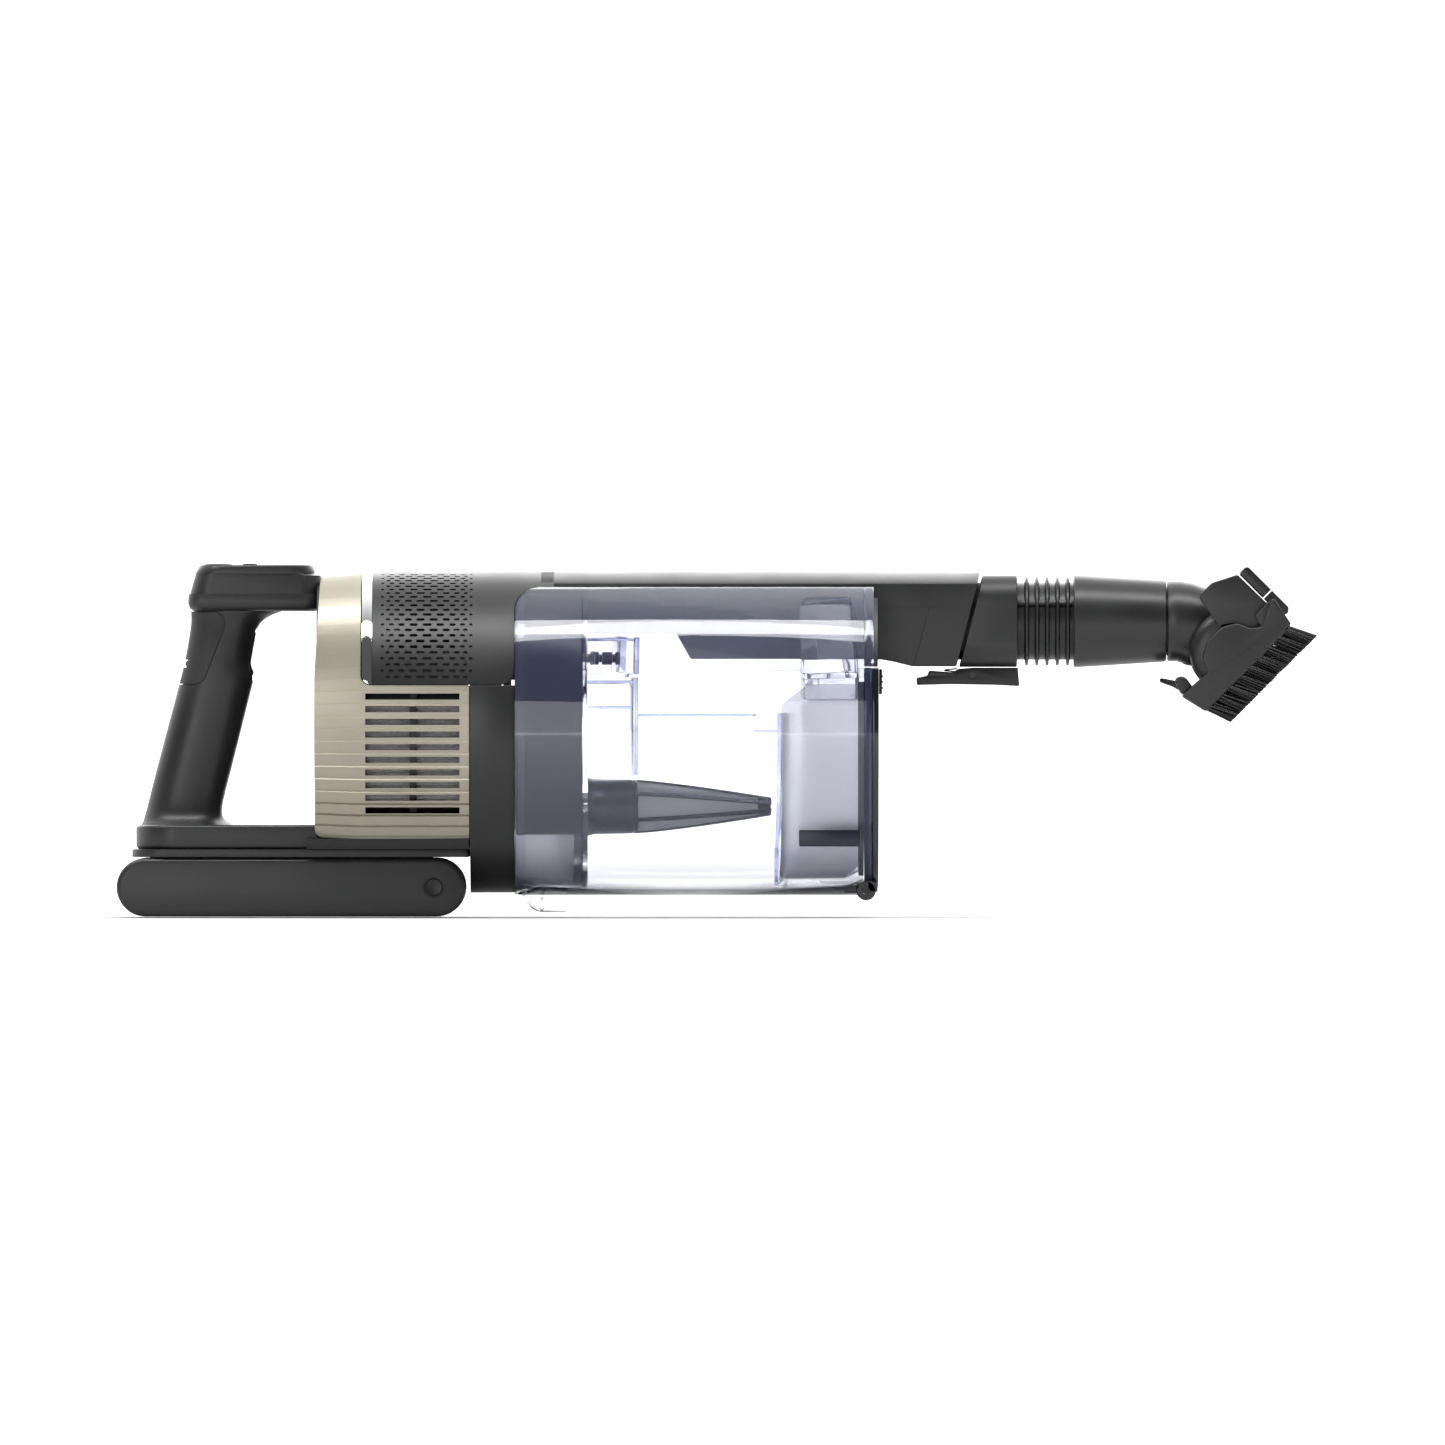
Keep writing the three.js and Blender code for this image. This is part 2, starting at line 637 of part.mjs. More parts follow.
// ---------- Control panel ----------
const lidBottom = controlBoxTop + gap;
const lidTop = lidBottom + lidHeight;
const powerButtonX = controlBoxRear + 12;
const modeButtonX = controlBoxRear + 25;
const lensRear = controlBoxRear + 32;
const lensFront = controlBoxFront - 3;
const buttonTop = lidTop + 0.6;
const modeShape = (spread) =>
  roundedRectangle(modeButtonX - 3 - spread, -modeButtonHalf - spread, modeButtonX + 3 + spread,
    modeButtonHalf + spread, 2.5);

function controlLid() {
  const plate = prismY(
    roundedPolygon([[controlBoxRear + 3, lidBottom], [controlBoxFront, lidBottom], [controlBoxFront, lidTop],
      [controlBoxRear + 4.5, lidTop]]),
    -controlBoxHalf, controlBoxHalf, 1.2,
  );
  const lensSeat = boxAcross(lensRear - gap, lensFront + gap, 15 + gap, lidTop - 1.3, lidTop + past);
  const powerHole = rodZ(powerButtonRadius + gap, lidBottom - past, lidTop + past, powerButtonX, 0);
  return cut(plate, lensSeat, powerHole, prismZ(modeShape(gap), lidBottom - past, lidTop + past));
}

addPart("control_lid", controlLid(), "darkPlastic");
addPart("display_lens", boxAcross(lensRear, lensFront, 15, lidTop - 1, lidTop), "glossBlack");
addPart("power_button", rodZ(powerButtonRadius, buttonTop - buttonHeight, buttonTop, powerButtonX, 0), "blackPlastic");
addPart("mode_button", prismZ(modeShape(0), buttonTop - buttonHeight, buttonTop), "blackPlastic");
addPart(
  "control_board",
  boxAcross(controlBoxRear + 6, controlBoxFront - 4, controlBoxHalf - 4, lidBottom - 3.6, lidBottom - 2),
  "circuitBoard",
);

// ---------- Exhaust shroud ----------
function exhaustShroud() {
  const slots = Array.from({ length: slotCount }, (_, i) => {
    const middle = bodyAxis + topSlotRise - i * slotPitch;
    const front = ringRear - gap - slotInset;
    return boxAcross(front - slotLength, front, bodyWidth, middle - slotHeight / 2, middle + slotHeight / 2);
  });
  return cut(
    bodyShell(shroudRear, ringRear - gap, bodyWall),
    boxAcross(trimRear - gap, ringRear, bodyWidth, saddleBottom - gap, bodyTop + past),
    boxAcross(shroudRear - past, ringRear, bodyWidth, 0, shroudBottom),
    ...slots,
  );
}

const exhaustOuter = -bodyWall - exhaustFilterRoom;
addPart("exhaust_shroud", exhaustShroud(), "champagnePaint");
addPart(
  "rear_cover",
  cut(
    bodySolid(shroudRear + 0.8, shroudRear + 3.2, -bodyWall - gap),
    boxAcross(shroudRear, shroudRear + 5, bodyWidth, 0, shroudBottom + gap),
  ),
  "darkPlastic",
);
addPart(
  "exhaust_filter",
  cut(
    bodyShell(trimRear + 1, ringRear - 1, exhaustFilterThickness, exhaustOuter),
    boxAcross(trimRear, ringRear, bodyWidth, 0, shroudBottom + 1),
  ),
  "filterMedia",
);
addPart(
  "trim_band",
  common(
    bodyShell(trimRear, trimRear + trimWidth, trimThickness),
    boxAcross(trimRear - past, trimRear + trimWidth + past, bodyWidth, saddleBottom, bodyTop + past),
  ),
  "chromeTrim",
);

// ---------- Motor housing ----------
const fanPlateRear = ringRear;
const fanPlateFront = ringRear + bulkheadWall;
const bulkheadFront = bodyFront - 1.5;

function motorHousing() {
  const skin = cut(
    bodyShell(ringRear, bodyFront, bodyWall),
    boxAcross(ringRear - past, bodyFront + past, bodyWidth, saddleBottom - gap, bodyTop + past),
  );
  const plateInset = -bodyWall - gap;
  const fanPlate = bodySolid(fanPlateRear, fanPlateFront, plateInset);
  const bulkhead = bodySolid(bulkheadFront - bulkheadWall, bulkheadFront, plateInset);
  const foot = common(
    bodySolid(ringRear, bulkheadFront, -bodyWall / 2),
    boxAcross(ringRear, bulkheadFront, bodyWidth, 0, bodyAxis - bodyHeight / 2 + 9),
  );
  const barrel = pipeX(barrelRadius, barrelRadius - barrelWall, ringRear - barrelLength, fanPlateFront, motorAxis, 32);
  const skirt = common(
    bodyShell(ringRear, bulkheadFront, 2 * bodyWall, -0.1),
    boxAcross(ringRear, bulkheadFront, bodyWidth, 0, saddleBottom - gap),
  );
  return cut(
    join(skin, fanPlate, bulkhead, foot, skirt, barrel),
    rodX(fanEyeRadius, fanPlateRear - past, fanPlateFront + past, motorAxis),
    rodX(preFilterRadius - 2, bulkheadFront - bulkheadWall - past, bulkheadFront + past, motorAxis),
  );
}

addPart("motor_housing", motorHousing(), "darkPlastic");
addPart(
  "pre_motor_filter",
  rodX(preFilterRadius, fanPlateFront + gap, fanPlateFront + gap + preFilterThickness, motorAxis),
  "foam",
);

// ---------- Motor ----------
const canFront = ringRear - 15;
const canRear = canFront - motorCanLength;
const frontBearingRear = canFront + gap;
const rearBearingRear = canRear - gap - bearingWidth;
const shaftFront = fanPlateRear - 1.2;
const bearingBore = shaftRadius + turnGap;

addPart(
  "motor_can",
  turned([
    [canRear, shaftRadius + 2], [canRear, motorCanRadius], [canFront, motorCanRadius],
    [canFront, motorCanRadius - motorCanWall], [canRear + motorCanWall, motorCanRadius - motorCanWall],
    [canRear + motorCanWall, shaftRadius + 2], [canRear, shaftRadius + 2],
  ], motorAxis),
  "steel",
);
addPart(
  "motor_mount",
  pipeX(barrelRadius - barrelWall - gap, motorCanRadius + gap, canRear + 8, canRear + 8 + mountWidth, motorAxis),
  "softRubber",
);
addPart("bearing_front", pipeX(bearingRadius, bearingBore, frontBearingRear, frontBearingRear + bearingWidth, motorAxis, 24), "steel");
addPart("bearing_rear", pipeX(bearingRadius, bearingBore, rearBearingRear, rearBearingRear + bearingWidth, motorAxis, 24), "steel");
addPart(
  "motor_shaft",
  turned([
    [rearBearingRear - 1, 0], [rearBearingRear - 1, shaftRadius], [canRear + 5, shaftRadius],
    [canRear + 5, rotorRadius], [canFront - 3, rotorRadius], [canFront - 3, shaftRadius],
    [shaftFront, shaftRadius], [shaftFront, 0],
  ], motorAxis, 24),
  "steel",
);

function impeller() {
  const rear = frontBearingRear + bearingWidth + 1;
  const disc = turned([
    [rear, bearingBore], [rear, impellerRadius], [rear + 1.2, impellerRadius], [rear + 2.5, 6],
    [rear + impellerWidth, 4.5], [rear + impellerWidth, bearingBore], [rear, bearingBore],
  ], 0, 24);
  const blades = Array.from({ length: bladeCount }, (_, i) => {
    const blade = new THREE.BoxGeometry(impellerWidth - 1.4, bladeThickness, impellerRadius - 6.5);
    blade.rotateX(0.5).translate(rear + 0.4 + impellerWidth / 2, 0, 12.5);
    return solid(blade.rotateX((i * 2 * Math.PI) / bladeCount));
  });
  return join(disc, ...blades);
}

addPart("impeller", impeller(), "darkPlastic").position.z = motorAxis;
addPart(
  "motor_board",
  boxAcross(saddleRear + 4, ringRear - 6, 22, motorAxis + barrelRadius + 4, motorAxis + barrelRadius + 5.6),
  "circuitBoard",
);

// ---------- Upper housing: saddle, roof and nozzle tube ----------
const slantAt = (z) => slantFoot + (slantRun * (z - collarBottom)) / (collarTop - collarBottom);

// The tube seen from the side. Its underside steps down, and its chin is cut back above the cup's front.
function tubeOutline(inset) {
  const rear = bodyFront - 1.2;
  const step = bodyFront + tubeStepStart;
  const chinZ = bodyTop - chinDepth;
  return polygon([
    [rear + inset, bodyTop + 5], [rear + inset, bodyTop - tubeRearDepth + inset],
    [step + inset, bodyTop - tubeRearDepth + inset],
    [step + tubeStepLength + inset, bodyTop - tubeFrontDepth + inset],
    [doorFront + 1.4, bodyTop - tubeFrontDepth + inset], [doorFront + 6, chinZ + 2 + inset],
    [doorFront + 14, chinZ + inset], [slantAt(chinZ) + inset, chinZ + inset],
    [slantAt(bodyTop + 5) + inset, bodyTop + 5],
  ]);
}

function upperHousing() {
  const saddle = common(
    bodyShell(saddleRear, bodyFront, bodyWall),
    boxAcross(saddleRear - past, bodyFront + past, bodyWidth, saddleBottom, bodyTop + past),
  );
  const tube = common(prismY(tubeOutline(0), -tubeHalf, tubeHalf), bodySolid(bodyFront - 1.3, slantHead + 9));
  const duct = common(
    prismY(tubeOutline(tubeWall), tubeWall - tubeHalf, tubeHalf - tubeWall),
    bodySolid(bodyFront - 1.3, slantHead + 30, -tubeWall),
  );
  const inletPort = boxAcross(
    cupFront - inletLength + 2, cupFront - 6, tubeHalf - tubeWall - 2, bodyTop - tubeFrontDepth - past, bodyTop - 20,
  );
  return cut(join(saddle, tube), duct, inletPort);
}

addPart("upper_housing", upperHousing(), "darkPlastic");

// ---------- Nozzle collar and its release lever ----------
const collarOutline = roundedRectangle(-collarHalf, collarBottom, collarHalf, collarTop, collarCorner);

function nozzleCollar() {
  const blank = prismX(collarOutline, slantFoot - 5, collarFront, 0, 8);
  const slantCut = polygon([
    [slantFoot - 20, collarBottom - 10], [slantAt(collarBottom - 10) + jointGap, collarBottom - 10],
    [slantAt(collarTop + 10) + jointGap, collarTop + 10], [slantFoot - 20, collarTop + 10],
  ]);
  const ear = prismY(
    roundedPolygon([[leverPinX - 3, leverEarBottom, 2], [leverPinX + 3, leverEarBottom, 2],
      [leverPinX + 4, collarBottom + 1], [leverPinX - 4, collarBottom + 1]]),
    -leverEarHalf, leverEarHalf,
  );
  return cut(
    join(blank, ear),
    prismY(slantCut, -collarHalf - past, collarHalf + past),
    rodX(connectorRadius + gap, slantFoot - 20, collarFront + past, nozzleAxis, 32),
    rodY(leverPinRadius + turnGap, -leverHalf - past, leverHalf + past, leverPinX, leverPinZ),
  );
}

function releaseLever() {
  const z1 = leverTop;
  const z0 = leverTop - leverHeight;
  const outline = roundedPolygon([
    [leverRear, z0 + 0.8, 1], [leverRear + 8, z0 + 1, 3], [leverFront - 8, z0 + 1, 3], [leverFront, z0],
    [leverFront, z1], [leverPinX, z1], [leverRear + 7, z1 - 1.6, 1], [leverRear + 4, z1 - 3, 1],
    [leverRear, z1 - 3.6, 1],
  ]);
  const trough = boxAcross(leverRear + 9, leverFront - 3, leverHalf - leverWall, leverEarBottom - swingGap, z1 + past);
  const bore = rodY(leverPinRadius + turnGap, -leverHalf - past, leverHalf + past, leverPinX, leverPinZ);
  return cut(prismY(outline, -leverHalf, leverHalf, 0.4), trough, bore);
}

// A coil spring that stands upright under the collar.
class Coil extends THREE.Curve {
  constructor(x, z0, z1) {
    super();
    Object.assign(this, { x, z0, z1 });
  }

  getPoint(t, target = new THREE.Vector3()) {
    const angle = t * springTurns * 2 * Math.PI;
    const z = this.z0 + (this.z1 - this.z0) * t;
    return target.set(this.x + springRadius * Math.cos(angle), springRadius * Math.sin(angle), z);
  }
}

const wireSection = new THREE.Shape();
wireSection.absarc(0, 0, springWire / 2, 0, 2 * Math.PI);
const springX = leverPinX - 9;
const springSeat = leverEarBottom - swingGap + gap + springWire / 2;
const springGeometry = new THREE.ExtrudeGeometry(wireSection, {
  extrudePath: new Coil(springX, springSeat, collarBottom - gap - springWire / 2),
  steps: springTurns * 10,
  curveSegments: 3,
});
addPart("nozzle_collar", nozzleCollar(), "darkPlastic");
addPart("release_lever", releaseLever(), "blackPlastic");
addPart("lever_pin", rodY(leverPinRadius, -leverHalf, leverHalf, leverPinX, leverPinZ), "steel");
addPart("lever_spring", solid(springGeometry), "steel");

// ---------- Dust cup ----------
const channel = (spread, x0, x1) =>
  boxAcross(x0, x1, channelHalf + spread, channelFloor - spread, bodyTop + 20);
const cupAxisZ = bodyAxis - coneDrop;

// The cup seen from the side, with its upper rear corner rounded.
const cupSideOutline = roundedPolygon([
  [cupRear, cupBottom - past], [cupFront, cupBottom - past], [cupFront, bodyTop + 5],
  [cupRear + 2, bodyTop + 5], [cupRear, bodyTop - 5, 4],
]);

function cupBlank(grow, x0, x1) {
  return bodySolid(x0, x1, grow);
}

function dustCupShell() {
  const walls = cut(
    cupBlank(cupProud, cupRear, cupFront),
    cupBlank(cupProud - cupWall, cupRear - past, cupFront + past),
    channel(channelWall + gap, cupRear - past, cupFront + past),
  );
  const knuckle = join(
    rodY(knuckleRadius, -cupKnuckleHalf, cupKnuckleHalf, hingeX, hingeZ),
    boxAcross(cupFront - 9, hingeX, cupKnuckleHalf, hingeZ - 1, hingeZ + 2.6),
  );
  const relief = rodY(knuckleRadius + 2, -doorKnuckleHalf - swingGap, doorKnuckleHalf + swingGap, hingeX, hingeZ);
  return cut(
    join(cut(common(walls, prismY(cupSideOutline, -bodyWidth, bodyWidth)), relief), knuckle),
    rodY(hingePinRadius + turnGap, -cupKnuckleHalf - past, cupKnuckleHalf + past, hingeX, hingeZ),
  );
}

// The channel in the cup's top, which straddles the nozzle tube and carries the apron above the door.
function cupChannel() {
  const sides = common(
    cut(channel(channelWall, cupRear, cupFront), channel(0, cupRear - past, cupFront + past)),
    cupBlank(cupProud, cupRear, cupFront),
    prismY(cupSideOutline, -bodyWidth, bodyWidth),
  );
  const apron = boxAcross(cupFront - 2, doorFront, notchHalf - swingGap, doorTop - notchDepth + swingGap, channelFloor);
  return cut(
    join(sides, apron),
    boxAcross(cupFront - inletLength + 4, cupFront - 13, channelHalf - 8, channelFloor - channelWall - past, channelFloor),
  );
}

// The cross wall that closes the cyclone and holds the cone.
function cupBulkheadPlate() {
  const x1 = bulkheadRear + cupBulkhead;
  return cut(
    cupBlank(cupProud - cupWall - gap, bulkheadRear, x1),
    channel(channelWall + gap, bulkheadRear - past, x1 + past),
    rodX(coneRadius + gap, bulkheadRear - past, x1 + past, cupAxisZ),
  );
}

function cycloneHousing() {
  const inset = cupProud - cupWall - gap;
  const x0 = cupRear + 1;
  const x1 = bulkheadRear - gap;
  const outer = cut(cupBlank(inset, x0, x1), channel(channelWall + gap, x0 - past, x1 + past));
  const hollow = cut(cupBlank(inset - 2, x0 - past, x1 - 3), channel(channelWall + 2 + gap, x0 - 2, x1));
  return cut(
    common(cut(outer, hollow), prismY(cupSideOutline, -bodyWidth, bodyWidth)),
    rodX(coneRadius + gap, x0 - past, x1 + past, cupAxisZ),
  );
}

const coneRear = bulkheadRear - 3 - gap;
const coneFront = bulkheadRear + coneBaseLength;

function filterCone() {
  const steps = 6;
  const profile = (wall) =>
    Array.from({ length: steps + 1 }, (_, i) => {
      const share = i / steps;
      const radius = coneTipRadius + (coneRadius - coneTipRadius) * (1 - share ** 1.25);
      return [coneFront + gap + share * (coneLength - wall), Math.max(radius - wall, 0.6)];
    });
  const outside = profile(0);
  const inside = profile(coneWall);
  return turned([[outside[0][0], inside[0][1]], ...outside, [outside.at(-1)[0], 0], [inside.at(-1)[0], 0],
    ...inside.reverse()], cupAxisZ, 24);
}

function inletDuct() {
  const x0 = cupFront - inletLength;
  const x1 = cupFront - 9;
  const half = channelHalf + channelWall + gap;
  const floor = channelFloor - channelWall - gap;
  const top = floor + inletDepth;
  const outer = boxAcross(x0, x1, half + inletWidth, floor - inletDrop, top);
  const inner = boxAcross(x0 + inletWall, x1 - inletWall, half + inletWidth - inletWall, floor - inletDrop - past,
    top - inletWall);
  return common(
    cut(outer, inner, boxAcross(x0 - past, x1 + past, half, floor, top + past)),
    cupBlank(cupProud - cupWall - gap, x0 - past, x1 + past),
  );
}

function dustBaffle() {
  const grow = cupProud - cupWall - baffleInset;
  const x1 = cupFront - 6;
  const x0 = x1 - baffleLength + 6;
  const gutter = bodyShell(x0, x1, baffleWall, grow);
  const wiper = common(
    cupBlank(grow - baffleWall / 2, x1 - wiperLength, x1),
    boxAcross(x1 - wiperLength, x1, bodyWidth, bodyAxis - wiperDrop - wiperHeight / 2, bodyAxis - wiperDrop + wiperHeight / 2),
  );
  const core = cupBlank(grow - baffleWall - wiperDepth, x0 - past, x1 + past);
  return common(
    join(gutter, cut(wiper, core)),
    boxAcross(x0 - past, x1 + past, bodyWidth, 0, channelFloor - channelWall - inletDrop - 3),
  );
}

function releaseTab() {
  const x0 = cupRear + 2;
  const z0 = cupBottom - tabDrop;
  const outline = roundedPolygon([
    [x0, cupBottom - gap], [x0 + 6, z0 + 0.8, 3], [x0 + 9, z0], [x0 + tabLength, z0],
    [x0 + tabLength, z0 + tabThickness], [x0 + 7, z0 + tabThickness, 3], [x0 + 4, z0 + 6], [x0 + 4, cupBottom - gap],
  ]);
  return prismY(outline, -tabHalf, tabHalf, 0.4);
}

addPart("dust_cup_shell", dustCupShell(), "clearPlastic");
addPart("cup_channel", cupChannel(), "clearPlastic");
addPart("cup_bulkhead", cupBulkheadPlate(), "clearPlastic");
addPart("cyclone_housing", cycloneHousing(), "duskPlastic");
addPart("cone_base", pipeX(coneRadius, coneRadius - coneWall, coneRear, coneFront, cupAxisZ), "duskPlastic");
addPart("filter_cone", filterCone(), "filterMesh");
addPart("inlet_duct", inletDuct(), "clearPlastic");
addPart("dust_baffle", dustBaffle(), "smokePlastic");
addPart("cup_release_tab", releaseTab(), "clearPlastic");

// ---------- Cup door ----------
const belowDoorTop = boxAcross(doorRear - 20, doorFront + 20, bodyWidth, 0, doorTop);
const doorNotch = (spread) =>
  boxAcross(doorRear - 20, doorFront + 20, notchHalf + spread, doorTop - notchDepth - spread, bodyTop);

function cupDoor() {
  const plate = cut(common(cupBlank(cupProud, doorRear, doorFront), belowDoorTop), doorNotch(0));
  const knuckles = [-1, 1].map((side) => {
    const y = side * cupKnuckleHalf + side * swingGap;
    const end = side * doorKnuckleHalf;
    return join(
      rodY(knuckleRadius, Math.min(y, end), Math.max(y, end), hingeX, hingeZ),
      box(hingeX, doorFront, Math.min(y, end), Math.max(y, end), hingeZ - 1, hingeZ + 8),
    );
  });
  const cupKnuckleRoom = rodY(knuckleRadius + swingGap, -cupKnuckleHalf - swingGap, cupKnuckleHalf + swingGap, hingeX, hingeZ);
  const underKnuckle = boxAcross(doorRear - past, doorFront + past, cupKnuckleHalf + swingGap, 0, hingeZ + 1);
  return cut(
    join(plate, ...knuckles),
    cupKnuckleRoom,
    underKnuckle,
    rodY(hingePinRadius + turnGap, -doorKnuckleHalf - past, doorKnuckleHalf + past, hingeX, hingeZ),
  );
}

function doorSeal() {
  const grow = cupProud - cupWall - 0.6;
  const x0 = doorRear - gap - sealDepth;
  const x1 = doorRear - gap;
  const ring = cut(
    common(cupBlank(grow, x0, x1), belowDoorTop, boxAcross(x0, x1, bodyWidth, hingeZ + 7, doorTop - 6)),
    doorNotch(3),
  );
  const hole = cut(
    common(cupBlank(grow - sealWidth, x0 - past, x1 + past), boxAcross(x0 - past, x1 + past, bodyWidth,
      hingeZ + 7 + sealWidth, doorTop - 6 - sealWidth)),
    doorNotch(3 + sealWidth),
  );
  return cut(ring, hole);
}

addPart("cup_door", cupDoor(), "glossBlack");
addPart("door_seal", doorSeal(), "softRubber");
addPart("door_hinge_pin", rodY(hingePinRadius, -doorKnuckleHalf, doorKnuckleHalf, hingeX, hingeZ), "steel");
addPart(
  "door_latch",
  prismX(
    roundedRectangle(-latchHalf, doorTop - latchHeight, latchHalf, doorTop - 0.6, 2),
    doorFront + gap, doorFront + gap + latchThickness, 0.6,
  ),
  "blackPlastic",
);

// ---------- Brush tool ----------
const tool = new THREE.Group();
tool.position.z = nozzleAxis;
root.add(tool);

function toolConnector() {
  const rear = collarFront - connectorInsertion;
  const front = sleeveRear + sleeveOverlap;
  const bore = connectorRadius - connectorWall;
  const fins = Array.from({ length: finCount }, (_, i) => {
    const x = collarFront + finStart + i * finPitch;
    return pipeX(finRadius, bore + 1, x, x + finWidth, 0);
  });
  return join(pipeX(connectorRadius, bore, rear, front, 0), ...fins);
}

const spigotBore = connectorRadius - 3;
const socketRadius = connectorRadius + gap;
const sleeveStep = sleeveRear + sleeveOverlap + gap;

function toolSleeve() {
  return turned([
    [sleeveRear, socketRadius], [sleeveRear, sleeveRearRadius], [sleeveFront, sleeveFrontRadius],
    [sleeveFront, sleeveFrontRadius - sleeveWall], [sleeveStep, sleeveFrontRadius - sleeveWall],
    [sleeveStep, socketRadius], [sleeveRear, socketRadius],
  ], 0, 32);
}

function toolElbow() {
  const face = sleeveFront + jointGap;
  const outer = sleeveFrontRadius;
  const spigot = sleeveFrontRadius - sleeveWall - gap;
  const round = rodX(outer, face, face + elbowRoundLength, 0, 32);
  const tail = rodX(spigot, face - spigotLength, face + past, 0, 24);
  const side = roundedPolygon([
    [face + 1, outer], [face + 9, outer - 0.4, 3], [face + 17, outer - 4, 4], [face + 24, outer - 11, 3],
    [tiltX + 7, -elbowDrop + 7], [tiltX + 2, -elbowDrop - ballRadius + 1, 3], [tiltX - 9, -elbowDrop - 10.5, 3],
    [face + 8, -outer - 3.6, 3], [face + 1, -outer],
  ]);
  const neck = prismY(side, -neckHalf, neckHalf, 2);
  const ball = rodY(ballRadius, -neckHalf, neckHalf, tiltX, -elbowDrop, 24);
  const inside = rodX(spigotBore - 2, face - spigotLength - past, face + 10, 0, 24);
  const throat = new THREE.CylinderGeometry(7, spigotBore - 3, 40, 20);
  throat.rotateZ(Math.PI / 2).translate(20, 0, 0).rotateY(headLean * 0.72).translate(face + 5, 0, 0);
  return cut(join(round, tail, neck, ball), inside, solid(throat.scale(1, 0.85, 1)));
}

addPart("tool_connector", toolConnector(), "blackPlastic", tool);
addPart("tool_sleeve", toolSleeve(), "darkPlastic", tool);
addPart("tool_elbow", toolElbow(), "darkPlastic", tool);

// The head is drawn with its mouth facing +X and turned down about the tilt axis.
const head = new THREE.Group();
head.position.set(tiltX, 0, tiltZ);
head.rotation.y = headLean;
root.add(head);

function toolHead() {
  const mouthRear = brushDepth - 1 - mouthDepth;
  const mouthFront = brushDepth - 1;
  const mouth = cut(
    boxAcross(mouthRear, mouthFront, headHalf, -mouthLength / 2, mouthLength / 2),
    boxAcross(mouthRear - past, mouthFront + past, neckHalf + swingGap, headWall - mouthLength / 2,
      mouthLength / 2 - headWall),
  );
  const cheek = (side) => {
    const y0 = side > 0 ? neckHalf + swingGap : -headHalf;
    const y1 = y0 + headHalf - neckHalf - swingGap;
    const disc = common(rodY(hubRadius, y0, y1, 0, 0, 32), boxAcross(-hubRadius, mouthFront, headHalf, -30, 30));
    const outer = side > 0 ? headHalf - 2.2 : -headHalf;
    const wing = prismY(
      roundedPolygon([[-26, 6.2, 2], [-25.3, 14.5, 5], [-20.5, barOffset - 0.9], [-gap, barOffset - 0.9], [-gap, 12],
        [-8, 4]]),
      outer, outer + 2.2,
    );
    return join(disc, wing);
  };
  const deck = boxAcross(-8, -gap, headHalf, mouthLength / 2 - 0.5, barOffset - gap);
  return join(mouth, deck, cheek(1), cheek(-1));
}

function headBar() {
  const front = barLength - 20.4;
  return prismY(
    roundedPolygon([[front - barLength, barOffset, 1.5], [front, barOffset, 1.5], [front, barOffset + barThickness, 2],
      [front - barLength, barOffset + barThickness, 1.5]]),
    -headHalf, headHalf, 0.8,
  );
}

function brushFrame() {
  const half = brushLength / 2;
  const outer = prismX(roundedRectangle(-brushHalf, -half, brushHalf, half, 3), 0, brushDepth);
  const seat = boxAcross(-past, mouthDepth + gap, headHalf + gap, -mouthLength / 2 - gap, mouthLength / 2 + gap);
  const opening = boxAcross(0, brushDepth + past, headHalf - 3, -mouthLength / 2 + 3, mouthLength / 2 - 3);
  const flank = (side) => {
    const y0 = side > 0 ? headHalf + gap : -brushHalf;
    const plate = new THREE.Shape();
    plate.moveTo(brushDepth, -half);
    plate.lineTo(-1.6, -half - 2.6);
    plate.lineTo(-1, -12.7);
    plate.quadraticCurveTo(-10.5, -11, -9.6, 0);
    plate.quadraticCurveTo(-9.4, 9.5, -2, 11.7);
    plate.lineTo(1.2, 16);
    plate.lineTo(-4.2, half + 2.4);
    plate.lineTo(-2.6, half + 2.8);
    plate.lineTo(9.2, half + 0.6);
    return prismY(plate, y0, y0 + brushHalf - headHalf - gap);
  };
  const hook = prismY(
    roundedPolygon([[2, -half - 0.5], [-6, -half - 2.4], [-12.8, -half - 5.2, 1], [-12.4, -half - 2.4, 1],
      [-4, -half + 1.5], [2, -half + 2.5]]),
    -7, 7,
  );
  return cut(join(outer, flank(1), flank(-1), hook), seat, opening);
}

// The bristles stand in a closed ring round the mouth and lean towards its upper end.
function bristleTuft() {
  const half = brushLength / 2 - 0.6;
  const outer = roundedRectangle(-brushHalf + 0.6, -half, brushHalf - 0.6, half, 2);
  const inner = roundedRectangle(
    -brushHalf + bristleRing, -half + bristleRing, brushHalf - bristleRing, half - bristleRing, 2,
  );
  const lean = new THREE.Matrix4().set(1, 0, 0, 0, 0, 1, 0, 0, bristleSlant / bristleLength, 0, 1, 0, 0, 0, 0, 1);
  const leaned = (shape, x0, x1) =>
    solid(extruded(shape, x1 - x0, 0, 2).applyMatrix4(drawnFacingX).translate(x0, 0, 0).applyMatrix4(lean));
  const standing = cut(leaned(outer, 0, bristleLength), leaned(inner, -past, bristleLength + past));
  return geometryOf(standing).translate(brushDepth + gap, 0, 0);
}

addPart("tool_head", toolHead(), "darkPlastic", head);
addPart("head_bar", headBar(), "blackPlastic", head);
addPart("brush_frame", brushFrame(), "darkPlastic", head);
addPart("bristles", solid(bristleTuft()), "bristle", head);

export default root;
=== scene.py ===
"""A cordless handheld vacuum: the looks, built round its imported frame."""
import json
import math
import random

import bpy
from mathutils import Matrix, Vector


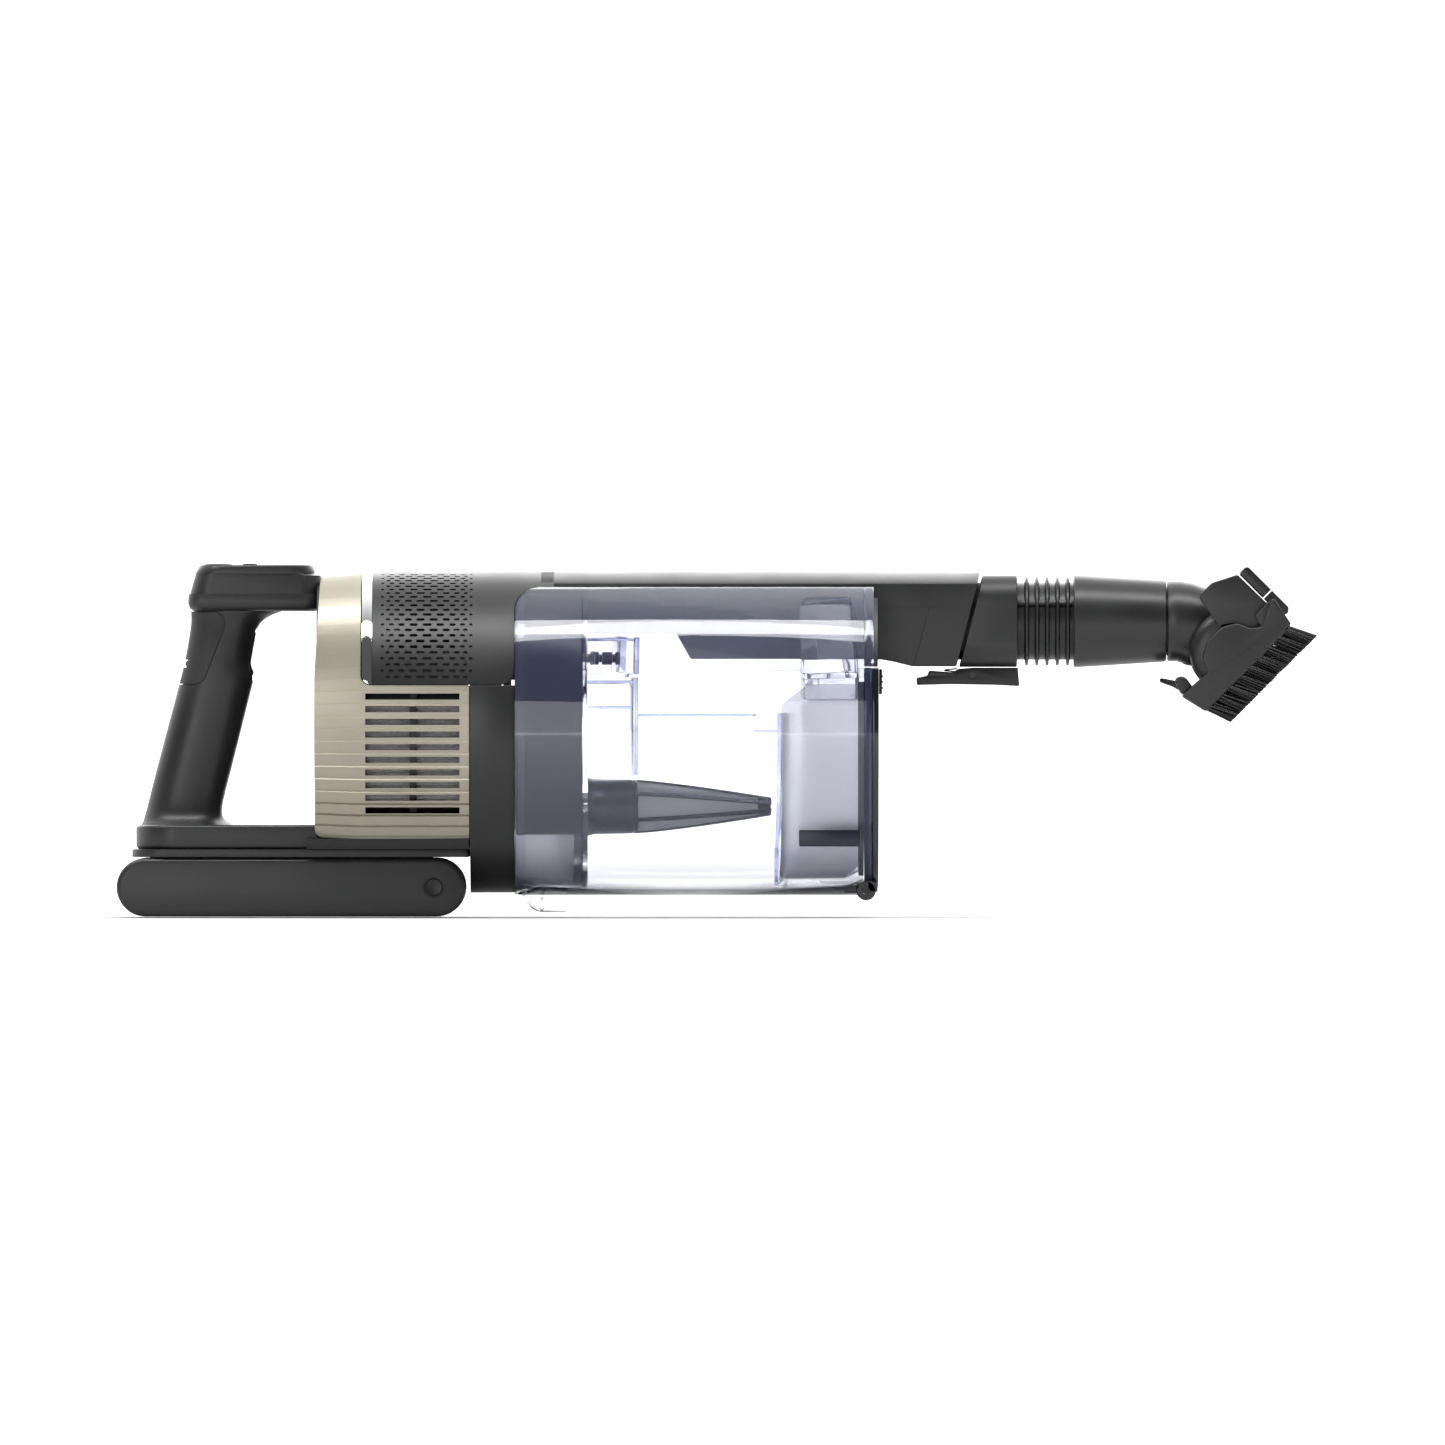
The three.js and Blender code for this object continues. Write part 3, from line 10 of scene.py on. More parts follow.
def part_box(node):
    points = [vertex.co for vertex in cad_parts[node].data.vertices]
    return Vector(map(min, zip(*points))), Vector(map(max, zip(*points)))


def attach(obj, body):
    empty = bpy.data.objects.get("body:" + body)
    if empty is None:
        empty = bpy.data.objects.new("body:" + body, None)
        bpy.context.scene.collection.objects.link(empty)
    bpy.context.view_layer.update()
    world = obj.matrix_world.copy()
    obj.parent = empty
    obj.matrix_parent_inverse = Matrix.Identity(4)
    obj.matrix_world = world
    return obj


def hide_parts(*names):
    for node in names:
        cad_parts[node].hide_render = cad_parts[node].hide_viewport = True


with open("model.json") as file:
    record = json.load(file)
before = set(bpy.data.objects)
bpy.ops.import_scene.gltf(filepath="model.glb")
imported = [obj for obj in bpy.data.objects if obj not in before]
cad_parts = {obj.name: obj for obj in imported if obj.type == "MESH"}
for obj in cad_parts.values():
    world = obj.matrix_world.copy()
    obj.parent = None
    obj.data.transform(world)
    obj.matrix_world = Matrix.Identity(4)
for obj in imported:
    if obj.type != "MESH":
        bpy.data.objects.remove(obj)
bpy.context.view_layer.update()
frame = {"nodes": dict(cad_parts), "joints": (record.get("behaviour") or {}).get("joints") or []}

MM = 0.001


def span(*nodes):
    """The lowest and highest corners, in millimetres, of these nodes together."""
    corners = [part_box(node) for node in nodes]
    low = Vector([min(c[0][i] for c in corners) for i in range(3)]) / MM
    high = Vector([max(c[1][i] for c in corners) for i in range(3)]) / MM
    return low, high


# Places that the frame gives, in millimetres
_, battery_high = span("battery_case_lower")
shroud_low, shroud_high = span("exhaust_shroud")
motor_low, motor_high = span("motor_housing")
saddle_low, _ = span("upper_housing")
trim_low, trim_high = span("trim_band")
cup_tab_low, cup_tab_high = span("cup_release_tab")
_, door_high = span("cup_door")
cyclone_low, cyclone_high = span("cyclone_housing")
cone_base_low, cone_base_high = span("cone_base")
cone_low, cone_high = span("filter_cone")
cone_z = (cone_low.z + cone_high.z) / 2
duct_low, duct_high = span("inlet_duct")
baffle_low, baffle_high = span("dust_baffle")
collar_low, collar_high = span("nozzle_collar")
lever_low, lever_high = span("release_lever")
lever_pin_low, lever_pin_high = span("lever_pin")
connector_low, connector_high = span("tool_connector")
sleeve_low, sleeve_high = span("tool_sleeve")
elbow_low, _ = span("tool_elbow")
handle_low, handle_high = span("handle_left_shell", "handle_right_shell")
trigger_low, trigger_high = span("boost_trigger")
lid_low, lid_high = span("control_lid")
dock_low, dock_high = span("battery_dock")

ACROSS = (-70, 70)  # past both sides of the body
ABOVE = 160  # past the top of the body
BODY_TOP = shroud_high.z
BODY_HALF = shroud_high.y
BODY_AXIS = (motor_low.z + BODY_TOP) / 2
BODY_RISE = BODY_TOP - BODY_AXIS
NOZZLE_AXIS = (connector_low.z + connector_high.z) / 2
TILT = next(j for j in frame["joints"] if j["name"] == "head_tilt")["pos_m"]
TILT_X, TILT_Z = TILT[0] / MM, TILT[2] / MM
HINGE = next(j for j in frame["joints"] if j["name"] == "door_swing")["pos_m"]
HINGE_X, HINGE_Z = HINGE[0] / MM, HINGE[2] / MM

# ---------------------------------------------------------------- modelling

PLANES = {
    "XZ": (Vector((1, 0, 0)), Vector((0, 0, 1)), Vector((0, 1, 0))),
    "YZ": (Vector((0, 1, 0)), Vector((0, 0, 1)), Vector((1, 0, 0))),
    "XY": (Vector((1, 0, 0)), Vector((0, 1, 0)), Vector((0, 0, 1))),
}


def pick(piece):
    """Leaves only this piece selected and active, in object mode."""
    if bpy.context.object and bpy.context.object.mode != "OBJECT":
        bpy.ops.object.mode_set(mode="OBJECT")
    bpy.ops.object.select_all(action="DESELECT")
    if piece:
        piece.select_set(True)
        bpy.context.view_layer.objects.active = piece


def new_piece(name):
    piece = bpy.context.object
    piece.name = piece.data.name = name
    bpy.ops.object.mode_set(mode="EDIT")
    bpy.ops.mesh.select_all(action="SELECT")
    return piece


def settle(piece, outward=True):
    """Ends the editing: faces out, and the place in the mesh."""
    if piece.mode != "EDIT":
        pick(piece)
        bpy.ops.object.mode_set(mode="EDIT")
    bpy.ops.mesh.select_all(action="SELECT")
    if outward:
        bpy.ops.mesh.normals_make_consistent(inside=False)
    bpy.ops.object.mode_set(mode="OBJECT")
    return place_in_mesh(piece)


def finish_with(piece, kind, **settings):
    """Adds a modifier, sets it and applies it."""
    pick(piece)
    modifier = piece.modifiers.new(kind.title(), kind)
    for key, value in settings.items():
        setattr(modifier, key, value)
    bpy.ops.object.modifier_apply(modifier=modifier.name)
    return piece


def place_in_mesh(piece, place=None):
    """Moves the piece to the place, if one is given, and puts that place in its mesh."""
    if place is not None:
        piece.matrix_world = place
    pick(piece)
    bpy.ops.object.transform_apply(location=True, rotation=True, scale=True)
    return piece


def round_edges(piece, width, rounds=2, angle=30):
    return finish_with(piece, "BEVEL", width=width * MM, segments=rounds, limit_method="ANGLE",
                       angle_limit=math.radians(angle), use_clamp_overlap=True, harden_normals=False)


def carve(piece, cutter, operation="DIFFERENCE"):
    finish_with(piece, "BOOLEAN", object=cutter, operation=operation, solver="EXACT")
    bpy.data.objects.remove(cutter)
    return piece


def copy_of(piece, name):
    twin = piece.copy()
    twin.data = piece.data.copy()
    twin.name = twin.data.name = name
    bpy.context.scene.collection.objects.link(twin)
    return twin


def together(name, pieces):
    """Joins the pieces into one object."""
    pick(pieces[0])
    for piece in pieces:
        piece.select_set(True)
    if len(pieces) > 1:
        bpy.ops.object.join()
    pieces[0].name = pieces[0].data.name = name
    return pieces[0]


def smooth(piece, angle=32):
    pick(piece)
    bpy.ops.object.shade_smooth_by_angle(angle=math.radians(angle))
    return piece


def draw(name, points, plane="XZ", at=0.0, face=True):
    """Draws a line through the points by extruding one vertex, and fills it."""
    across, up, along = PLANES[plane]
    places = [(across * u + up * v + along * at) * MM for u, v in points]
    pick(None)
    bpy.ops.mesh.primitive_plane_add(size=MM, location=places[0])
    piece = new_piece(name)
    bpy.ops.mesh.merge(type="CENTER")
    for here, there in zip(places, places[1:]):
        bpy.ops.mesh.extrude_region_move(TRANSFORM_OT_translate={"value": there - here})
    bpy.ops.mesh.select_all(action="SELECT")
    if face:
        bpy.ops.mesh.edge_face_add()
    return piece


def slab(name, points, plane, low, high, edge=0.0, rounds=2, angle=30):
    """An outline extruded from low to high across its plane."""
    piece = draw(name, points, plane, low)
    move = PLANES[plane][2] * (high - low) * MM
    bpy.ops.mesh.extrude_region_move(TRANSFORM_OT_translate={"value": move})
    settle(piece)
    return round_edges(piece, edge, rounds, angle) if edge else piece


def block(name, x, y, z, edge=0.0, rounds=2):
    """A box between pairs of limits."""
    return slab(name, [(x[0], z[0]), (x[1], z[0]), (x[1], z[1]), (x[0], z[1])], "XZ", y[0], y[1], edge, rounds)


def tube_wall(name, points, plane, low, high, wall):
    """A closed outline extruded as an open-ended tube, with a wall inside it."""
    piece = draw(name, points, plane, low)
    bpy.ops.mesh.delete(type="ONLY_FACE")
    bpy.ops.mesh.select_all(action="SELECT")
    move = PLANES[plane][2] * (high - low) * MM
    bpy.ops.mesh.extrude_region_move(TRANSFORM_OT_translate={"value": move})
    settle(piece)
    return finish_with(piece, "SOLIDIFY", thickness=wall * MM, offset=-1, use_even_offset=True)


def ring_between(name, outer, inner, plane, low, high):
    """A plug with the outer outline, hollowed by the inner one, open at both ends."""
    piece = slab(name, outer, plane, low, high)
    return carve(piece, slab(name + "_hollow", inner, plane, low - 2, high + 2))


def spun(name, profile, centre, axis="X", steps=64):
    """A profile of (along, radius) points turned about a line along the axis."""
    cx, cy, cz = centre
    if axis == "X":
        piece = draw(name, [(a, cz + r) for a, r in profile], "XZ", cy, face=False)
    elif axis == "Y":
        piece = draw(name, [(a, cz + r) for a, r in profile], "YZ", cx, face=False)
    else:
        piece = draw(name, [(cx + r, a) for a, r in profile], "XZ", cy, face=False)
    spin_axis = {"X": (1, 0, 0), "Y": (0, 1, 0), "Z": (0, 0, 1)}[axis]
    bpy.ops.mesh.spin(steps=steps, angle=2 * math.pi, center=Vector(centre) * MM, axis=spin_axis)
    bpy.ops.mesh.select_all(action="SELECT")
    bpy.ops.mesh.remove_doubles(threshold=0.00001)
    return settle(piece)


def drill(name, start, end, radius, centre, axis="X", steps=64):
    """A plain round cutter from start to end along the axis."""
    return spun(name, [(start, 0), (start, radius), (end, radius), (end, 0)], centre, axis, steps)


def loft(name, sections, corner=0.42, steps=7):
    """A rounded rectangle extruded upwards: sections of (z, rear, front, half width)."""
    z, rear, front, half = sections[0]
    wide, deep = front - rear, 2 * half
    pick(None)
    bpy.ops.mesh.primitive_plane_add(size=MM, location=Vector(((rear + front) / 2, 0, z)) * MM)
    piece = new_piece(name)
    middle = Vector(((rear + front) / 2, 0, z)) * MM
    bpy.ops.transform.resize(value=(wide, deep, 1), center_override=middle)
    bpy.ops.mesh.bevel(offset=corner * min(wide, deep) * MM, segments=steps, affect="VERTICES")
    bpy.ops.mesh.select_all(action="SELECT")
    for z_next, rear, front, half in sections[1:]:
        centre = Vector(((rear + front) / 2, 0, z_next)) * MM
        bpy.ops.mesh.extrude_region_move(TRANSFORM_OT_translate={"value": centre - middle})
        bpy.ops.transform.resize(value=((front - rear) / wide, 2 * half / deep, 1), center_override=centre)
        wide, deep, middle = front - rear, 2 * half, centre
    return settle(piece)


def arc(cx, cz, radius, start, end, steps, radius_up=None):
    """Points on an arc, or on part of an ellipse, from start to end in degrees."""
    rise = radius_up or radius
    angles = [math.radians(start + (end - start) * i / steps) for i in range(steps + 1)]
    return [(cx + radius * math.cos(t), cz + rise * math.sin(t)) for t in angles]


def rounded(corners, steps=6):
    """The outline through corners of (u, v, radius), each rounded by its radius."""
    points = []
    count = len(corners)
    for i, (u, v, radius) in enumerate(corners):
        here = Vector((u, v))
        before = (Vector(corners[i - 1][:2]) - here).normalized()
        after = (Vector(corners[(i + 1) % count][:2]) - here).normalized()
        if radius <= 0:
            points.append((u, v))
            continue
        half_angle = before.angle(after) / 2
        reach = radius / math.tan(half_angle)
        centre = here + (before + after).normalized() * (radius / math.sin(half_angle))
        first, last = here + before * reach - centre, here + after * reach - centre
        turn = first.angle_signed(last)
        for k in range(steps + 1):
            spot = centre + Matrix.Rotation(-turn * k / steps, 2) @ first
            points.append((spot.x, spot.y))
    return points


def plate(u0, u1, v0, v1, radius, steps=6):
    """The outline of a rectangle with rounded corners."""
    return rounded([(u0, v0, radius), (u1, v0, radius), (u1, v1, radius), (u0, v1, radius)], steps)


def body_curve(grow=0.0, steps=180):
    """The body's oval in Y, Z, made larger or smaller by grow."""
    return arc(0, BODY_AXIS, BODY_HALF + grow, -90, 270, steps, BODY_RISE + grow)[:-1]


def body_plug(name, x0, x1, grow=0.0, steps=180):
    return slab(name, body_curve(grow, steps=steps), "YZ", x0, x1)


def about_line(height, degrees):
    """The place of a piece drawn at the origin, turned about a line along X at this height."""
    return Matrix.Translation(Vector((0, 0, height * MM))) @ Matrix.Rotation(math.radians(degrees), 4, "X")


def on_head(piece):
    """Turns a piece drawn with its mouth facing +X to where the head points."""
    return place_in_mesh(piece, Matrix.Translation(Vector((TILT_X, 0, TILT_Z)) * MM)
                         @ Matrix.Rotation(math.radians(45), 4, "Y"))


def is_for(piece, body, finish, nodes=(), angle=32):
    """Gives a finished piece its finish, its body and the nodes that it stands for."""
    smooth(piece, angle)
    piece.data.materials.clear()
    piece.data.materials.append(finish)
    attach(piece, body)
    if nodes:
        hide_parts(*nodes)
    return piece


# ---------------------------------------------------------------- finishes

def shader(name, colour, roughness, **sockets):
    finish = bpy.data.materials.new(name)
    finish.use_nodes = True
    surface = finish.node_tree.nodes["Principled BSDF"]
    surface.inputs["Base Color"].default_value = (*colour, 1)
    surface.inputs["Roughness"].default_value = roughness
    for socket, value in sockets.items():
        surface.inputs[socket.replace("_", " ")].default_value = value
    return finish, finish.node_tree, surface


def noise(tree, scale, detail=2.0, stretch=None):
    """A noise on the object's own coordinates."""
    place = tree.nodes.new("ShaderNodeTexCoord")
    texture = tree.nodes.new("ShaderNodeTexNoise")
    texture.inputs["Scale"].default_value = scale
    texture.inputs["Detail"].default_value = detail
    if stretch:
        mapping = tree.nodes.new("ShaderNodeMapping")
        mapping.inputs["Scale"].default_value = stretch
        tree.links.new(place.outputs["Object"], mapping.inputs["Vector"])
        tree.links.new(mapping.outputs["Vector"], texture.inputs["Vector"])
    else:
        tree.links.new(place.outputs["Object"], texture.inputs["Vector"])
    return texture


def worked_out(tree, operation, *values):
    """A maths node fed with sockets and numbers."""
    node = tree.nodes.new("ShaderNodeMath")
    node.operation = operation
    for entry, value in zip(node.inputs, values):
        if isinstance(value, bpy.types.NodeSocket):
            tree.links.new(value, entry)
        else:
            entry.default_value = value
    return node.outputs["Value"]


def split_apart(tree, source):
    """The X, Y and Z of a place or direction."""
    apart = tree.nodes.new("ShaderNodeSeparateXYZ")
    tree.links.new(source, apart.inputs["Vector"])
    return apart.outputs


def ranged(tree, source, low, high, first=0.3, last=0.7):
    node = tree.nodes.new("ShaderNodeMapRange")
    node.inputs["From Min"].default_value = first
    node.inputs["From Max"].default_value = last
    node.inputs["To Min"].default_value = low
    node.inputs["To Max"].default_value = high
    tree.links.new(source, node.inputs["Value"])
    return node.outputs["Result"]


def blended(tree, factor, first, second):
    mix = tree.nodes.new("ShaderNodeMix")
    mix.data_type = "RGBA"
    tree.links.new(factor, mix.inputs["Factor"])
    mix.inputs["A"].default_value = (*first, 1)
    mix.inputs["B"].default_value = (*second, 1)
    return mix.outputs["Result"]


def bumped(tree, surface, height, strength, distance=0.0002):
    bump = tree.nodes.new("ShaderNodeBump")
    bump.inputs["Strength"].default_value = strength
    bump.inputs["Distance"].default_value = distance
    tree.links.new(height, bump.inputs["Height"])
    tree.links.new(bump.outputs["Normal"], surface.inputs["Normal"])


def moulded(name, colour, roughness, grain=2200.0, depth=0.12, spread=0.06, **sockets):
    """Moulded plastic: a fine spark-eroded grain, with slightly uneven gloss and colour."""
    finish, tree, surface = shader(name, colour, roughness, **sockets)
    fine = noise(tree, grain, 3.0)
    broad = noise(tree, 28.0, 4.0)
    bumped(tree, surface, fine.outputs["Fac"], depth)
    gloss = ranged(tree, broad.outputs["Fac"], roughness - spread, roughness + spread)
    tree.links.new(gloss, surface.inputs["Roughness"])
    shade = ranged(tree, broad.outputs["Fac"], 0.0, 1.0)
    paler = tuple(c * 1.14 for c in colour)
    darker = tuple(c * 0.88 for c in colour)
    tree.links.new(blended(tree, shade, darker, paler), surface.inputs["Base Color"])
    return finish


def metal(name, colour, roughness, stretch, **sockets):
    """Metal with fine lines along one direction."""
    finish, tree, surface = shader(name, colour, roughness, Metallic=1.0, **sockets)
    lines = noise(tree, 900.0, 2.0, stretch)
    bumped(tree, surface, lines.outputs["Fac"], 0.08, 0.0001)
    gloss = ranged(tree, lines.outputs["Fac"], roughness * 0.8, roughness * 1.25)
    tree.links.new(gloss, surface.inputs["Roughness"])
    return finish


def champagne_finish():
    finish, tree, surface = shader("champagne_paint", (0.4, 0.37, 0.295), 0.36, Metallic=0.45,
                                   Coat_Weight=0.25, Coat_Roughness=0.2)
    flakes = noise(tree, 3800.0, 1.0)
    broad = noise(tree, 22.0, 3.0)
    bumped(tree, surface, flakes.outputs["Fac"], 0.06, 0.0001)
    shade = ranged(tree, broad.outputs["Fac"], 0.0, 1.0)
    tree.links.new(blended(tree, shade, (0.37, 0.341, 0.27), (0.43, 0.396, 0.32)), surface.inputs["Base Color"])
    tree.links.new(ranged(tree, flakes.outputs["Fac"], 0.3, 0.42), surface.inputs["Roughness"])
    return finish


def clear_finish(name, tint, haze, cloudiness, roughness=0.02):
    """Clear polycarbonate with faint flow marks from the mould, and a little haze in it."""
    finish, tree, surface = shader(name, tint, roughness, IOR=1.49)
    surface.inputs["Transmission Weight"].default_value = 1.0
    flow = noise(tree, 14.0, 2.0, (0.35, 1.0, 1.0))
    bumped(tree, surface, flow.outputs["Fac"], 0.05, 0.001)
    tree.links.new(ranged(tree, flow.outputs["Fac"], roughness * 0.5, roughness * 2.0), surface.inputs["Roughness"])
    cloud = tree.nodes.new("ShaderNodeBsdfPrincipled")
    cloud.inputs["Base Color"].default_value = (*haze, 1)
    cloud.inputs["Roughness"].default_value = 0.35
    mix = tree.nodes.new("ShaderNodeMixShader")
    mix.inputs["Fac"].default_value = cloudiness
    tree.links.new(surface.outputs["BSDF"], mix.inputs[1])
    tree.links.new(cloud.outputs["BSDF"], mix.inputs[2])
    tree.links.new(mix.outputs["Shader"], tree.nodes["Material Output"].inputs["Surface"])
    return finish


WIRE_STEP = 0.0011  # metres from wire to wire along the screen
WIRES_ROUND = 84


def mesh_finish():
    """A fine woven screen: wires that cross, with the gaps between them painted dark as painted shade for the dark seen
    through the openings.
    """
    finish, tree, surface = shader("woven_screen", (0.74, 0.75, 0.77), 0.4, Metallic=0.1)
    place = split_apart(tree, tree.nodes.new("ShaderNodeTexCoord").outputs["Object"])

    def wave(source, frequency):
        return worked_out(tree, "SINE", worked_out(tree, "MULTIPLY", source, frequency))

    height = worked_out(tree, "SUBTRACT", place["Z"], cone_z * MM)
    around = worked_out(tree, "ARCTAN2", height, place["Y"])
    both = worked_out(tree, "MULTIPLY", wave(place["X"], 2 * math.pi / WIRE_STEP), wave(around, WIRES_ROUND))
    # The weave of wires is a real pattern; the dark given to the gaps between them is painted shade.
    shade = ranged(tree, both, 0.0, 1.0, -0.6, 0.35)
    tree.links.new(blended(tree, shade, (0.3, 0.305, 0.32), (0.82, 0.83, 0.86)), surface.inputs["Base Color"])
    bumped(tree, surface, both, 0.5, 0.0003)
    return finish


def cloth_finish(name, colour, scale):
    """Filter paper and foam: soft, with a fibrous or open surface."""
    finish, tree, surface = shader(name, colour, 0.9, Sheen_Weight=0.3)
    fibre = noise(tree, scale, 5.0)
    bumped(tree, surface, fibre.outputs["Fac"], 0.7, 0.0006)
    shade = ranged(tree, fibre.outputs["Fac"], 0.0, 1.0)
    darker = tuple(c * 0.7 for c in colour)
    tree.links.new(blended(tree, shade, darker, colour), surface.inputs["Base Color"])
    return finish


dark_plastic = moulded("dark_plastic", (0.0165, 0.0167, 0.0175), 0.38)
black_plastic = moulded("black_plastic", (0.01, 0.01, 0.0105), 0.38)
soft_rubber = moulded("soft_rubber", (0.017, 0.0172, 0.018), 0.55, 3200.0, 0.25, 0.05)
gloss_black = moulded("gloss_black", (0.008, 0.0083, 0.01), 0.14, 900.0, 0.02, 0.04, Coat_Weight=0.5)
dusk_plastic = moulded("dusk_plastic", (0.012, 0.014, 0.03), 0.32)
champagne = champagne_finish()
chrome = metal("chrome_trim", (0.82, 0.83, 0.85), 0.05, (1.0, 0.2, 0.2))
steel = metal("steel", (0.56, 0.56, 0.58), 0.3, (1.0, 0.15, 0.15))
black_steel = metal("black_steel", (0.07, 0.07, 0.075), 0.4, (1.0, 0.15, 0.15))
clear_plastic = clear_finish("clear_plastic", (0.965, 0.97, 0.995), (0.4, 0.48, 0.95), 0.03)
smoke_plastic = clear_finish("smoke_plastic", (0.88, 0.88, 0.92), (0.6, 0.6, 0.66), 0.22, 0.12)
rib_plastic = clear_finish("rib_plastic", (0.6, 0.64, 0.84), (0.4, 0.48, 0.95), 0.05)
tinted_plastic = clear_finish("tinted_plastic", (0.16, 0.19, 0.32), (0.03, 0.04, 0.09), 0.5, 0.05)
screen_mesh = mesh_finish()
filter_media = cloth_finish("filter_media", (0.62, 0.6, 0.62), 700.0)
foam = cloth_finish("foam", (0.05, 0.08, 0.16), 1500.0)
bristle_nylon = moulded("bristle_nylon", (0.006, 0.006, 0.0063), 0.5, 500.0, 0.1)
cell_wrap = moulded("cell_wrap", (0.03, 0.15, 0.24), 0.3)
circuit_board = moulded("circuit_board", (0.015, 0.08, 0.035), 0.45)

# ---------------------------------------------------------------- battery

battery_mid = battery_high.z + 0.15
battery_half = battery_high.y
battery_top = 2 * battery_mid
battery_end = battery_high.x - battery_mid


def stadium(grow=0.0):
    radius = battery_mid + grow
    return (arc(battery_end, battery_mid, radius, -90, 90, 24)
            + arc(-battery_end, battery_mid, radius, 90, 270, 24))


case = slab("battery_case", stadium(), "XZ", -battery_half, battery_half, 2.2, 4)
button_x = (span("battery_button_left")[0].x + span("battery_button_left")[1].x) / 2
for side in (-1, 1):
    groove = spun("button_groove", [(side * (battery_half + 1), 0), (side * (battery_half + 1), 4.5),
                                    (side * (battery_half - 0.8), 4.5), (side * (battery_half - 0.8), 3.9),
                                    (side * (battery_half - 1.2), 3.9), (side * (battery_half - 1.2), 0)],
                  (button_x, 0, battery_mid), "Y", 40)
    carve(case, groove)
rails = block("rails", (-58, 58), (-18, 18), (battery_top - 1, battery_top + 3.4))
rail_head = block("rail_head", (-58, 58), (-21.5, 21.5), (battery_top + 3.6, battery_top + 5.2), 0.4)
carve(case, rails, "UNION")
carve(case, rail_head, "UNION")
is_for(case, "battery", dark_plastic, ("battery_case_lower", "battery_case_upper"))

for name, side in (("battery_button_left", 1), ("battery_button_right", -1)):
    outer = side * (battery_half + 0.1)
    button = spun("release_" + name, [(outer - side * 2.2, 0), (outer - side * 2.2, 3.6), (outer - side * 0.4, 3.6),
                                      (outer, 3.2), (outer - side * 0.25, 2.2), (outer - side * 0.45, 0)],
                  (button_x, 0, battery_mid), "Y", 40)
    is_for(button, name, black_plastic, (name,))

# The dock: a thin plate with a lip, over the battery
dock_outline = rounded([(dock_low.x - 1.2, -dock_high.y, 14), (dock_high.x, -dock_high.y, 3),
                        (dock_high.x, dock_high.y, 3), (dock_low.x - 1.2, dock_high.y, 14)])
dock = slab("dock_plate", dock_outline, "XY", dock_low.z, dock_high.z + 0.25, 0.4)
carve(dock, block("dock_slot", (dock_low.x - 9, 60), (-18.6, 18.6), (dock_low.z - 2, dock_high.z + 2)))
is_for(dock, "housing", dark_plastic, ("battery_dock",))

# ---------------------------------------------------------------- handle

bar_bottom, bar_top = handle_low.z, handle_low.z + 9.9
bar_front = handle_high.x
bar_rear = handle_low.x
box_front = lid_high.x
box_rear = lid_low.x - 3.3
box_bottom = handle_high.z - 15.3
box_top = handle_high.z

bar_outline = rounded([(bar_rear + 0.4, -36.5, 17), (bar_front, -36.5, 2),
                       (bar_front, 36.5, 2), (bar_rear + 0.4, 36.5, 17)], 10)
bar = slab("handle_body", bar_outline, "XY", bar_bottom, bar_top, 1.6, 3)
cradle = body_plug("cradle", shroud_low.x - 3, bar_front - 0.2)
carve(cradle, block("cradle_limit", (0, 80), (-60, 60), (bar_bottom, shroud_low.z - 0.25)), "INTERSECT")
carve(bar, cradle, "UNION")

grip_sections = [
    (bar_top - 1.5, -62.4, -21.0, 26.0), (bar_top + 0.1, -61.6, -24.6, 22.0), (bar_top + 1.6, -61.0, -27.2, 19.4),
    (bar_top + 3.6, -60.4, -28.7, 17.8), (bar_top + 7.0, -59.4, -28.7, 16.6), (50.2, -58.1, -27.5, 16.0),
    (62.0, -55.0, -24.4, 15.7), (76.0, -51.3, -20.9, 15.6), (88.0, -48.1, -17.9, 15.7), (95.0, -46.3, -16.1, 15.9),
    (97.6, -45.6, -15.5, 15.9), (100.0, -45.0, -16.0, 15.8), (103.6, -44.1, -17.2, 15.6), (107.6, -43.3, -16.8, 15.4),
    (112.5, -42.4, -15.8, 15.3), (117.0, -41.7, -14.6, 15.3), (120.0, -41.3, -13.2, 15.6), (122.6, -41.3, -10.4, 16.2),
    (124.6, -41.4, -5.6, 17.2), (126.6, -41.6, 1.5, 18.6),
]
grip = loft("grip", grip_sections, 0.43, 8)
finish_with(grip, "SUBSURF", levels=1, render_levels=1)

# The pad's outline on the side of the grip
pad_outline = rounded([(-60, 95.3, 0), (-36.5, 95.3, 5), (-25.2, 124.9, 5), (-60, 124.9, 0)], 8)
pad_wide = rounded([(-60, 94.97, 0), (-36.3, 94.97, 5.3), (-24.8, 125.17, 5.3), (-60, 125.17, 0)], 8)
pad = copy_of(grip, "grip_pad_cover")
carve(pad, slab("pad_region", pad_outline, "XZ", -30, 30), "INTERSECT")
carve(grip, slab("pad_gap", pad_wide, "XZ", -30, 30))
core_sections = [(z - 0.31, rear + 1.4, front - 1.4, half - 1.4) for z, rear, front, half in grip_sections[8:]]
core = loft("pad_core", core_sections, 0.43, 8)
carve(grip, core, "UNION")
light_slot = slab("light_slot", rounded([(-50, 101.9, 0), (-41.4, 101.9, 1.2), (-40.6, 105.2, 1.2), (-50, 105.2, 0)]),
                  "XZ", -9.5, 9.5)
carve(pad, copy_of(light_slot, "light_slot_pad"))
carve(grip, light_slot)
light = slab("charge_light", rounded([(-43.9, 102.5, 0.8), (-41.8, 102.5, 0.8), (-41.2, 104.7, 0.8),
                                      (-43.3, 104.7, 0.8)]), "XZ", -8.8, 8.8, 0.3)

